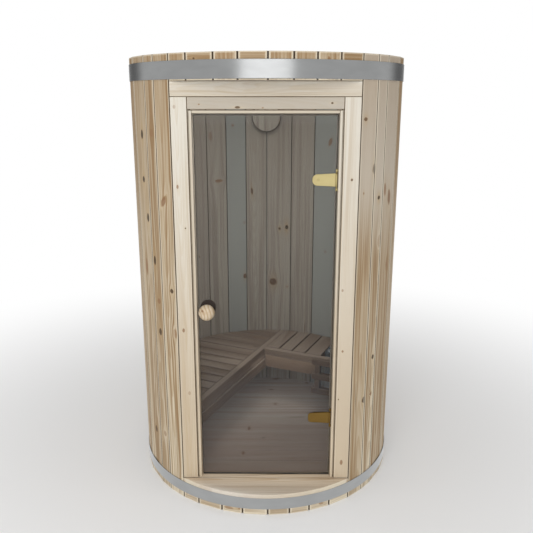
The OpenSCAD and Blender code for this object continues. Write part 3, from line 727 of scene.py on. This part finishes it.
def stave_darkening(points):
    """Darker above the upper band; no darkening at the foot below the lower one, where the
    finish paints light over the band's shade; and a right side that is bleached at the top
    and yellower towards the foot."""
    x, z = points[:, 0], points[:, 2]
    bleached_z, foot_z, end_z = 1.75, 0.65, 0.04
    down = np.clip((bleached_z - z) / (bleached_z - foot_z), 0, 1)
    side = np.where(x > 0, 0.36 * down, 0.05)
    return np.select([z > BAND_TOP + 0.004, z < end_z], [0.65, 0.0], side)


def faces_room(points):
    """1 for points on the inner half of the stave ring."""
    return (np.hypot(points[:, 0], points[:, 1]) < STAVE_MIDDLE).astype(float)


for seed, node in enumerate(STAVE_NODES):
    rng = np.random.default_rng(100 + seed)
    made = []
    for corners, low, high in plans(node):
        corners = squared(corners, CUT_CORNER)
        in_front = node.startswith("front")
        outer = FRONT_ARRIS if in_front else OUTER_ARRIS
        arris = np.where(np.hypot(*corners.T) > STAVE_MIDDLE, outer, INNER_ARRIS)
        if not in_front:
            beside_jamb = abs(corners[:, 0]) < JAMB_SIDE + 0.02
            arris[beside_jamb & (corners[:, 1] < 0)] = TIGHT
        middle = corners.mean(0)
        bearing = math.degrees(math.atan2(middle[0], -middle[1])) % 360
        tints = [tint for at, tint in TINTS if abs(at - bearing) < HALF_STAVE]
        made.append(board(
            corners, low, high, arris, rng, joints=(1, 0), seen=middle / np.hypot(*middle),
            inside=faces_room, tone=tints[0] if tints else None, dull=stave_darkening))
    parts, marks = zip(*made)
    piece(node + "_wood", parts, STAVE_WOOD, [node], marks=marks)

# %% [markdown]
# ## Door frame
# Jambs, header and head rail are one thickness of timber. The linings that close the
# opening sit beside them, so a thin dark line runs round the door, deepened by shade
# painted into the grooves.

# %% Door frame
def jamb_arris(corners):
    """Rounded towards the door, and left sharp where the boards butt against the staves."""
    return np.where(abs(corners[:, 0]) > JAMB_SIDE - 0.005, TIGHT, 0.003)


def heartwood(points):
    """The header was sawn close to the heart of the tree, which shows along its foot."""
    heart_z, fade = 1.915, 0.02
    return 0.03 + 0.3 * np.clip((heart_z - points[:, 2]) / fade, 0, 1)


# the head rail is darker and greyer than the jambs: it takes most of the room side's colour and a
# darker tone
for seed, (node, grey, dull) in enumerate((
        ("left_jamb", 0, 0), ("right_jamb", 0, 0), ("header_board", 0, heartwood),
        ("head_rail", 0.8, 0.38))):
    timber(node, FRAME_WOOD, "frame_spruce", jamb_arris, 200 + seed, support=0.003, ends=0.003,
           joints=(1, 1), dull=dull, inside=everywhere(grey))
for seed, node in enumerate(("left_lining", "right_lining", "top_lining")):
    timber(node, FRAME_WOOD, "frame_spruce", 0.003, 210 + seed, ends=0.003, joints=(0.8, 0.8),
           dull=0.12)
timber("door_stops", FRAME_WOOD, "frame_spruce", 0.002, 213, ends=0.002, dull=0.2)

# %% [markdown]
# ## Sill, floor and roof
# The sill's front edge follows the ring and is rounded; a highlight along that edge and a
# pale sheen on the front of its top are painted on. The floor and the roof are tongued
# boards that close up tight, so they are cut from the plan of each deck as strips.

# %% Sill, floor and roof
def painted_sheen(points):
    """Where a sheen is painted on the sill: its front, most of all on the knob side."""
    x, y = points[:, 0], points[:, 1]
    from_y, fade = -0.53, 0.07
    return np.clip((from_y - y) / fade, 0, 1) * np.clip(0.75 - 2 * x, 0.15, 1)


corners, low, high = plans("sill_board")[0]
part, marks = board(corners, low, high, 0.001, np.random.default_rng(220), ends=0.004,
                    support=0.002, inside=painted_sheen, painted_rim_highlight=True)
# the highlight painted on the sill's rim stays on its front, clear of the frame
clear_of_frame = part[0][:, 1] < FRONT - 0.012
marks["face"][:, 2] *= clear_of_frame
piece("sill_board_wood", [part], SILL_WOOD, ["sill_board"], marks=[marks])


def trodden_and_shaded(points):
    """Darker just inside the door, where feet land, and painted shade there that evens out the
    light falling in through the door.
    """
    from_y, fade, most = 0.05, 0.35, 0.6
    return np.clip((from_y - points[:, 1]) / fade, 0, 1) * most


FLOOR_BOARD = 0.094
ROOF_BOARD = 0.115
for node, width, arris in (("floor_deck", FLOOR_BOARD, 0.0003), ("roof_deck", ROOF_BOARD, 0.0025)):
    corners, low, high = plans(node)[0]
    edges = np.arange(corners[:, 1].min(), corners[:, 1].max() + width, width)
    boards = [(c, low, high) for c in strips(corners, edges)]
    timber(node, FLOOR_WOOD, "deck_spruce", arris, 230, boards, ends=arris, support=0.001,
           dull=trodden_and_shaded if node == "floor_deck" else 0)
timber("floor_bearers", BEARER_WOOD, "bearer_wood", 0.001, 240)

# %% [markdown]
# ## Bench and heater guard
# Nobody may sit on a sharp edge, so the slats and rails have a rounder arris than the walls.

# %% Bench and heater guard
BENCH_ARRIS = 0.0035
# node, how far it is darkened, and how far it takes the bench wood's near-black room colour:
# on the bench boards and the heater guard both are painted shade, for fronts the light above leaves
# dark
for seed, (node, dull, painted_shade) in enumerate((
        ("left_bench_slats", 0.65, 0), ("left_bench_rail", 0.5, 0),
        ("left_bench_board", 0.6, 0.3), ("right_bench_slats", 0.7, 0),
        ("right_bench_rail", 0.5, 0), ("right_bench_board", 0.8, 0),
        ("guard_rails", 0.85, 0.7), ("guard_blocks", 0.9, 0.7))):
    outlines = [(eased(corners), low, high) for corners, low, high in plans(node)]
    timber(node, BENCH_WOOD, "bench_wood", BENCH_ARRIS, 250 + seed, outlines, ends=0.0025,
           support=0.001, dull=dull, joints=(0, 1) if "slats" in node else (0, 0),
           inside=everywhere(painted_shade))
for seed, node in enumerate(("left_bench_bearers", "right_bench_bearers")):
    timber(node, BEARER_WOOD, "bearer_wood", 0.001, 260 + seed)

# %% [markdown]
# ## Metal
# Rolled steel carries fine lines along the way it was rolled, brass a softer cloudiness
# where hands and steam have dulled it. Both are one metal with a slow change of colour and
# fine lines in the roughness, because a painted grey would not pick up the room.

# %% Metal finishes
def metal(name, colour, dark, rough=0.3, lines=1400, scratch=0.06):
    """Metal with level lines, so many to a metre, and a cloudy change of colour."""
    f = Finish(name)
    x, y, z = f.place()
    brush = f.noise(x * 6, y * 6, z * lines, 3.0)
    cloud = f.noise(x * 9, y * 9, z * 24, 3.0)
    colour = f.mix(f.step(cloud, 0.3, 0.75) * 0.5, colour, dark)
    shine = rough + brush * scratch + cloud * 0.04
    return f.done({"Base Color": colour, "Metallic": 1.0, "Roughness": shine}, brush, 0.00004)


TOP_STEEL = metal("top_band_steel", (0.30, 0.305, 0.305), (0.25, 0.255, 0.255), rough=0.18)
# the foot band is the same steel as the top one, made paler: a painted reflection, for the brighter
# white ground it mirrors
FOOT_STEEL = metal("foot_band_steel", (0.37, 0.375, 0.375), (0.31, 0.315, 0.315), rough=0.25)
HEATER_STEEL = metal("heater_steel", (0.62, 0.71, 0.79), (0.50, 0.57, 0.64), rough=0.55)
PALE_BRASS = metal("pale_brass", (0.52, 0.44, 0.22), (0.44, 0.35, 0.16), 0.34, 500)
DARK_BRASS = metal("dark_brass", (0.19, 0.115, 0.032), (0.13, 0.08, 0.02), 0.38, 500)
print("metals", [made.name for made in (TOP_STEEL, FOOT_STEEL, HEATER_STEEL, PALE_BRASS,
                                        DARK_BRASS)])

# %% [markdown]
# ## Bands
# Each hoop is a flat steel strip, bent round the barrel and pulled tight. It is a profile
# carried round a circle: its section is a strip with rounded edges, with one more ring
# close to each edge, so that the face between them stays dead flat in the light.

# %% Steel bands
BAND_STEPS = 240
BAND_THICK = 0.0015


def band(node, steel):
    """P(a, s) = (r(s) cos a, r(s) sin a, z(s)), where (r, z) runs round the section."""
    low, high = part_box(node)
    radius = min(high.x, high.y, -low.x, -low.y)
    edge = BAND_THICK / 2
    hold = edge * 3
    a = np.linspace(np.pi / 2, -np.pi / 2, 5)
    inset = np.concatenate([
        edge + edge * np.sin(a), [0, 0], edge - edge * np.sin(a), [BAND_THICK] * 2])
    rise = edge - edge * np.cos(a)
    height = np.concatenate([
        low.z + rise, [low.z + hold, high.z - hold], high.z - rise, [high.z - hold, low.z + hold]])
    part = shell(circle_loop(radius, BAND_STEPS), plain_rings(inset, height), closed=True)
    piece(node + "_steel", [part], steel, [node])


band("top_band", TOP_STEEL)
band("bottom_band", FOOT_STEEL)

# %% [markdown]
# ## Glass
# The door is one sheet of grey toughened glass, eight millimetres thick. Its ground edge is
# not clear: it is coloured nearly black, which also paints the shadow of the frame in the
# gap round the glass. The sheet is a body of its own colour that lets two thirds of the
# light through, so that it looks the same in any viewer; a refracting glass would need the
# light to cross it four times.

# %% Glass
def glass_finish():
    """Smoked glass, seen as a thin veil."""
    f = Finish("door_glass")
    return f.done({
        "Base Color": (0.02, 0.023, 0.028, 1), "Roughness": 0.03, "Alpha": 0.33,
        "Specular IOR Level": 0.2, "IOR": 1.5})


def ground_edge_finish():
    """The same glass where it was ground: dull and slightly green, and nearly black, a colour that
    also paints the shadow in the gap round the glass.
    """
    f = Finish("glass_edge")
    grit = f.noise(*(value * 400 for value in f.place()), 3.0)
    colour = f.mix(grit, (0.008, 0.009, 0.008), (0.03, 0.032, 0.03))
    return f.done({"Base Color": colour, "Roughness": 0.35 + grit * 0.3}, grit, 0.0002)


def rectangle(low, high):
    """The outline between two opposite corners."""
    return [(low[0], low[1]), (high[0], low[1]), (high[0], high[1]), (low[0], high[1])]


FACING_FRONT = [(1, 0, 0), (0, 0, 1), (0, -1, 0)]
glass_low, glass_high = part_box("door_glass")
pane = shell(
    plain_loop(rectangle(glass_low.xz, glass_high.xz), 0.004, 0.003),
    end_rings(-glass_high.y, -glass_low.y, 0.001, 0.001))
pane = piece("door_pane", [turned(pane, (0, 0, 0), FACING_FRONT)], glass_finish(),
             ["door_glass"], "door")
pane.data.materials.append(ground_edge_finish())
edge = np.ones(len(pane.data.polygons), np.int32)
edge[-2:] = 0  # all but the two big faces
pane.data.polygons.foreach_set("material_index", edge)
print("pane", [round(side, 3) for side in pane.dimensions])

# %% [markdown]
# ## Turned and cut parts
# Knobs and pins are turned on a lathe, so each is a profile carried round an axis. Plates
# are cut from flat stock, so each is an outline with its edges broken.

# %% Lathe and plate
FACING_BACK = [(-1, 0, 0), (0, 0, 1), (0, 1, 0)]
UPRIGHT = [(1, 0, 0), (0, 1, 0), (0, 0, 1)]


def lathe(radii, heights, origin, axes, count=32):
    """P(a, t) = (r(t) cos a, r(t) sin a, h(t)) about a part's own third axis."""
    widest = max(radii)
    rings = plain_rings(widest - np.asarray(radii, float), heights)
    return turned(shell(circle_loop(widest, count), rings), origin, axes)


def ball_on_neck(radius, neck, neck_height):
    """A ball r = R sin t, h = c - R cos t from where it meets its neck to its top, with a
    turned bead between the two."""
    centre = neck_height + math.sqrt(radius ** 2 - neck ** 2)
    t = np.linspace(math.asin(neck / radius), np.pi * 0.985, 28)
    radii = np.concatenate([[neck - 0.002, neck, neck, neck * 0.97], radius * np.sin(t)])
    heights = np.concatenate([[0, 0.0008, neck_height - 0.001, neck_height - 0.0003],
                              centre - radius * np.cos(t)])
    return radii, heights


def plate(corners, radius, front, back, ease=0.0006):
    """A flat plate facing the front: its outline in x and z, from one y to another."""
    rings = end_rings(-back, -front, ease, 0.0008)
    return turned(shell(plain_loop(corners, radius, 0.001, 8), rings), (0, 0, 0), FACING_FRONT)


print("a ball on its neck stands", round(float(ball_on_neck(0.03, 0.015, 0.003)[1][-1]), 4))

# %% [markdown]
# ## Knobs
# The outer knob is pine and shows its rings as ovals, because the lathe cut through them.
# The inner one is wood painted nearly black: painted shade, for the shadow it sits in behind the
# tinted glass.

# %% Knobs
NECK_SHARE = 0.55
NECK_HEIGHT = 0.003
HAIR = 0.00001  # keeps a part just inside its place in the frame
# piece, finish, slot, glass face, way it looks, seed, and where its knot lies in radii
for node, finish, slot, face, axes, seed, knot in (
        ("outer_knob", KNOB_WOOD, "frame_spruce", glass_low.y, FACING_FRONT, 302, (-0.45, 0.45)),
        ("inner_knob", SHADED_KNOB_WOOD, "dark_wood", glass_high.y, FACING_BACK, 301, (0, 9))):
    low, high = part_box(node)
    radius = (high.x - low.x) / 2 - HAIR
    origin = ((low.x + high.x) / 2, face, (low.z + high.z) / 2)
    part = lathe(*ball_on_neck(radius, radius * NECK_SHARE, NECK_HEIGHT), origin, axes, 48)
    rng = np.random.default_rng(seed)
    grain = np.array([(0, 0, 1), (1, 0, 0), (0, 1, 0)], float)
    narrow = (0.01, 0.01, 1)  # so that no other knot is drawn
    marks = wood_marks(part[0], part[3], np.array(origin), grain, narrow, rng)
    spot = (part[0] - origin)[:, [0, 2]] / radius - knot
    marks["knot_a"][:, :2] = spot / (0.16, 0.13)
    marks["knot_a"][:, 2:] = (0.004, 0.6)
    piece(node + "_turned", [part], finish, [node], "door", [marks])

# %% [markdown]
# ## Hinges
# A brass plate clamps the glass, its knuckle turns on a pin, and the pin's end bosses are
# screwed to the lining. The upper pair has kept its lacquer; the lower one, nearer the wet
# floor, has gone brown.

# %% Hinges
PLATE_THICK = 0.0045
BOSS_HEIGHT = 0.012
WIRE_INSET = 0.0014  # how much thinner the pin is than its bosses
LUG_HALF = 0.003
CLAMP_SHORT = 0.02  # how far the inner clamp ends before the knuckle
# radius and height of each turn of a screw's domed head, down to its slot
SCREW = ((0.0052, -0.001), (0.0052, 0.0001), (0.0044, 0.0007), (0.0030, 0.0011),
         (0.0028, 0.0006), (0.0004, 0.0005))


def hinge(name, brass, tip_radius):
    """The fixed pin with its bosses, and the moving plate with its knuckle."""
    low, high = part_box(name + "_pin")
    boss = (high.y - low.y) / 2
    x, y, z, tall = low.x + boss, (low.y + high.y) / 2, (low.z + high.z) / 2, high.z - low.z
    steps = np.array([0, 0.0008, BOSS_HEIGHT - 0.0012, BOSS_HEIGHT - 0.0002, BOSS_HEIGHT])
    radii = np.array([boss - 0.0008, boss, boss, boss - 0.0008, boss - WIRE_INSET])
    radii, heights = np.append(radii, radii[::-1]), np.append(steps, tall - steps[::-1])
    parts = [lathe(radii, heights, (x, y, low.z), UPRIGHT, 20)]
    for foot in (low.z, high.z - BOSS_HEIGHT):
        lug = plain_loop(rectangle((x, y - LUG_HALF), (high.x, y + LUG_HALF)), 0.0004, 0.0004)
        lug[3][:] = True  # smooth all round
        parts.append(shell(lug, end_rings(foot, foot + BOSS_HEIGHT, 0.0006, 0.0006)))
    piece(name + "_pin_brass", parts, brass, [name + "_pin"])

    low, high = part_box(name + "_plate")
    half = (high.z - low.z) / 2
    tip, knuckle, front = half * 0.8, high.x - x, glass_low.y - PLATE_THICK
    corners = [(low.x, z - tip), (low.x, z + tip), (x, z + half), (x, z - half)]
    clamp = rectangle((low.x + tip, z - tip), (high.x - CLAMP_SHORT, z + tip))
    rim = np.array([0, 0.0006, 0.0012])
    parts = [
        plate(corners, [tip_radius, tip_radius, 0.001, 0.001], front, glass_low.y - HAIR),
        plate(clamp, 0.003, glass_high.y + HAIR, high.y),
        lathe(np.append(knuckle - rim[::-1], knuckle - rim),
              np.append(rim, half * 2 - rim[::-1]), (x, y, low.z), UPRIGHT, 20),
        lathe(*zip(*SCREW), (low.x + tip * 1.1, front, z), FACING_FRONT, 24)]
    piece(name + "_plate_brass", parts, brass, [name + "_plate"], "door")


hinge("upper_hinge", PALE_BRASS, 0.021)
hinge("lower_hinge", DARK_BRASS, 0.014)

# %% [markdown]
# ## Vent
# A round wooden disc stands off the back wall on a hub: warm air leaves round its edge.

# %% Vent disc
VENT_T, VENT_STAND = 0.018, 0.012
low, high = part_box("vent_disc")
disc = (high.x - low.x) / 2
hub = disc * 0.4
origin = ((low.x + high.x) / 2, low.y + VENT_T + VENT_STAND, (low.z + high.z) / 2)
# radius and height of each turn of its profile, from the wall to the face
profile = (
    (hub, -0.002), (hub, VENT_STAND), (disc - 0.003, VENT_STAND), (disc, 0.015), (disc, 0.025),
    (disc - 0.001, 0.0285), (disc - 0.005, 0.03), (disc - 0.012, 0.03), (0.002, 0.03))
part = lathe(*zip(*profile), origin, FACING_FRONT, 72)
marks = wood_marks(
    part[0], part[3], np.array(origin), np.array(UPRIGHT, float), (0.2, 0.02, 0.2),
    np.random.default_rng(311), inside=1.0, tone=0.1)
across, up = (part[0] - origin)[:, [0, 2]].T
marks["face"][:, 3] = np.hypot(across, up) > disc - 0.0032  # painted shade on its rim, for the shadow gap behind the disc
piece("vent_disc_turned", [part], STAVE_WOOD, ["vent_disc"], marks=[marks])

# %% [markdown]
# ## Heater
# The heater is a folded steel case on two legs, open at the top, with stones heaped in the
# opening. It stands square to the bench, so its box is measured along the bench.

# %% Heater case
BENCH_TURN = math.radians(24)
BENCH_AXES = np.array([
    (math.cos(BENCH_TURN), -math.sin(BENCH_TURN), 0),
    (math.sin(BENCH_TURN), math.cos(BENCH_TURN), 0), (0, 0, 1)])


def box_on_bench(node):
    """Lowest and highest corners of a CAD node, measured along and across the bench."""
    points = np.array([v.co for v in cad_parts[node].data.vertices]) @ BENCH_AXES.T
    return points.min(0), points.max(0)


WALL, TRAY = 0.003, 0.06
low, high = box_on_bench("heater_body")
foot, rim = low[2], high[2]
# inset and height of each ring: the foot, a pressed fold near both ends, the rim, the tray
FOLD = ((0, 0), (0.0012, 0.002), (0.0012, 0.004), (0, 0.006))
profile = [
    (0.005, foot), (0.0015, foot), (0, foot + 0.0015), (0, foot + 0.005),
    *((inset, foot + 0.03 + rise) for inset, rise in FOLD),
    (0, foot + 0.045), (0, rim - 0.045),
    *((inset, rim - 0.03 + rise) for inset, rise in FOLD),
    (0, rim - 0.001), (0.0008, rim), (WALL - 0.0008, rim), (WALL, rim - 0.001),
    (WALL, rim - TRAY), (WALL + 0.001, rim - TRAY)]
case = shell(plain_loop(rectangle(low, high), 0.01, 0.003, 6),
             plain_rings(*zip(*profile), smooth=False))
piece("heater_case", [turned(case, (0, 0, 0), BENCH_AXES)], HEATER_STEEL, ["heater_body"])

legs = [shell(plain_loop(corners, 0.003, 0.002), end_rings(foot, top, 0.001, 0.002))
        for corners, foot, top in plans("heater_legs")]
piece("heater_feet", legs, HEATER_STEEL, ["heater_legs"])

# %% [markdown]
# ## Stones
# Sauna stones are broken olivine with worn corners. A stone is the inside of some planes:
# along a direction d its skin lies at the least of h / (d . n), and a soft least in place of
# the sharp one rounds its corners. They lie in three layers, turned every way.

# %% Stone finish
def stone_finish():
    """Grey olivine in darker and paler patches, with dark and light crystals."""
    f = Finish("olivine")
    big = f.noise(*(value * 26 for value in f.place()), 4.0)
    small = f.noise(*(value * 420 for value in f.place()), 3.0)
    colour = f.mix(f.step(big, 0.35, 0.65), (0.30, 0.32, 0.335), (0.52, 0.55, 0.56))
    colour = f.mix(f.step(small, 0.55, 0.7) * 0.6, colour, (0.74, 0.77, 0.78))
    colour = f.mix(f.step(small, 0.45, 0.32) * 0.6, colour, (0.07, 0.075, 0.08))
    return f.done({"Base Color": colour, "Roughness": 0.6 + small * 0.3}, small, 0.0008)


# %% Stones
PLANES, POWER = 12, 14


def stone(centre, size, rng, around=10, up=7):
    """r(d) = (sum over planes of (max(d . n, 0) / h) ** p) ** (-1 / p), stretched to size."""
    a = np.arange(around) * 2 * np.pi / around
    t = np.linspace(0.12, np.pi - 0.12, up)
    t, a = np.meshgrid(t, a, indexing="ij")
    d = np.stack([np.sin(t) * np.cos(a), np.sin(t) * np.sin(a), -np.cos(t)], -1)
    n = rng.normal(size=(PLANES, 3))
    n /= np.linalg.norm(n, axis=1, keepdims=True)
    n = np.concatenate([n, -n])
    h = rng.uniform(0.72, 1.0, len(n))
    r = ((np.clip(d @ n.T, 0, None) / h) ** POWER).sum(-1) ** (-1 / POWER)
    spin, _ = np.linalg.qr(rng.normal(size=(3, 3)))
    if np.linalg.det(spin) < 0:
        spin[0] *= -1
    skin = (d * r[..., None] * size) @ spin + centre
    faces = ring_faces(around, up)[0]
    return skin.reshape(-1, 3), faces, np.zeros(len(faces), bool), None


rng = np.random.default_rng(320)
low, high = box_on_bench("heater_stones")
LAYERS = ((0.045, 1.0), (0.026, 1.0), (0.008, 0.75))  # depth, and share of the width
ROWS, COLUMNS = 5, 6
STONE = 0.0155  # half the length of a middling one
heap = []
for sunk, share in LAYERS:
    centre, reach = (low + high) / 2, (high - low) / 2 * share
    for row in range(ROWS):
        for column in range(COLUMNS):
            size = rng.uniform(0.75, 1.05, 3) * STONE
            most = size.max() * 1.12
            at = np.array([(column + 0.5) / COLUMNS * 2 - 1, (row + 0.5) / ROWS * 2 - 1, 0])
            at = centre + at * reach * 1.1 + rng.uniform(-0.004, 0.004, 3)
            at[2] = high[2] - most - sunk + rng.uniform(-0.003, 0.003)
            at = np.clip(at, low + most, high - most)
            heap.append(turned(stone(at, size, rng), (0, 0, 0), BENCH_AXES))
piece("heater_rocks", heap, stone_finish(), ["heater_stones"])

# %% [markdown]
# ## Stage and light
# A white studio: soft boxes in front, a white ground and a white world. Small lamps inside
# stand for what the door and the lamp under the roof let in, so that the room reads through
# the glass. Only the strip is seen by metal, and two dark cards give the bands their tone.

# %% Lamps
def lamp(name, where, aim, size, power, in_metal=False):
    """A soft box: a rectangular lamp that faces a point."""
    data = bpy.data.lights.new(name, "AREA")
    data.shape = "RECTANGLE"
    data.size, data.size_y = size
    data.energy = power
    made = bpy.data.objects.new(name, data)
    made.location = where
    direction = made.location - type(made.location)(aim)
    made.rotation_euler = direction.to_track_quat("Z", "Y").to_euler()
    made.visible_glossy = in_metal
    bpy.context.scene.collection.objects.link(made)


lamp("strip_softbox", (0, -3.6, 2.2), (0, 0, 2.0), (2.4, 1.1), 16, in_metal=True)
lamp("key_softbox", (-0.9, -4.6, 2.9), (0, 0, 1.0), (3.2, 2.6), 78)
lamp("room_lamp", (0, 0, 1.93), (0, 0, 0), (0.8, 0.8), 5.6)
lamp("door_fill", (0, -0.44, 0.8), (0, 1, 0.5), (0.55, 1.3), 1.6)
lamp("wall_fill", (0, 0.1, 1.0), (0, 1, 0.8), (0.6, 1.0), 1.6)
lamp("bench_fill", (0.05, 0.3, 0.4), (0.05, 0.3, 0), (0.5, 0.3), 0.5)
lamp("foot_fill", (-0.22, -0.1, 0.3), (-0.22, -0.1, 0), (0.3, 0.4), 0.15)
print("lamps", {data.name: round(data.energy, 2) for data in bpy.data.lights})

# %% Dark cards
def backdrop(name, corners, material):
    """A flat sheet of the studio, which is no part of the cabin."""
    mesh = bpy.data.meshes.new(name)
    mesh.from_pydata(corners, [], [(0, 1, 2, 3)])
    mesh.materials.append(material)
    made = bpy.data.objects.new(name, mesh)
    bpy.context.scene.collection.objects.link(made)
    return made


# two dark cards behind the cabin, which only the polished bands see: they fade to white
# away from the middle, and are a little paler where a band turns out of sight
CARD_FROM, CARD_TO, CARD_FOOT, CARD_TOP, CARD_Y = 0.9, 5.6, 1.2, 3.2, 1.8
for side in (-1, 1):
    left, right = sorted((side * CARD_FROM, side * CARD_TO))
    grey = Finish("dark_card")
    out = grey.place()[0] * side
    glow = 0.2 + grey.step(out, 2.6, 5.2) * 0.8 + grey.step(out, 1.9, 1.1) * 0.5
    grey.node("OutputMaterial", {}, {"Surface": grey.node("Emission", {}, {"Strength": glow})})
    card = backdrop("dark_card", [
        (x, CARD_Y, z) for x, z in rectangle((left, CARD_FOOT), (right, CARD_TOP))],
        grey.material)
    card.visible_camera = card.visible_diffuse = False
    card.visible_transmission = card.visible_shadow = False
print("cards from", CARD_FROM, "to", CARD_TO, "m on both sides")

# %% Ground and world
def background_ray(finish):
    """1 for the rays that see the background: from the camera, a reflection or glass."""
    seen, mirrored, through = [finish.node("LightPath", {}, {}, name) for name in (
        "Is Camera Ray", "Is Glossy Ray", "Is Transmission Ray")]
    return seen | mirrored | through


def ground_finish():
    """White paper under the cabin, which fades into the white of the world."""
    f = Finish("studio_floor")
    x, y, _ = f.place()
    away = f.step((x * x + y * y) ** 0.5, 0.9, 3.5) * background_ray(f)
    away = away | f.node("LightPath", {}, {}, "Is Glossy Ray")
    near = f.node("BsdfPrincipled", {}, {"Base Color": (0.88, 0.88, 0.88, 1), "Roughness": 0.8})
    far = f.node("Emission", {}, {"Strength": 1.0})
    f.node("OutputMaterial", {}, {"Surface": f.node("MixShader", {}, {0: away, 1: near, 2: far})})
    return f.material


GROUND = 30
backdrop("ground", [
    (x, y, 0) for x, y in rectangle((-GROUND, -GROUND), (GROUND, GROUND))], ground_finish())

AMBIENT = 0.66  # the world's light on the cabin, where its look to the camera is 1
world = bpy.data.worlds.new("studio")
bpy.context.scene.world = world
sky = Finish("studio", world)
strength = AMBIENT + background_ray(sky) * (1 - AMBIENT)
light = sky.node("Background", {}, {"Color": (1, 1, 1, 1), "Strength": strength})
sky.node("OutputWorld", {}, {"Surface": light})
bpy.context.scene.view_settings.view_transform = "Standard"
print("light of the world on the cabin", AMBIENT)
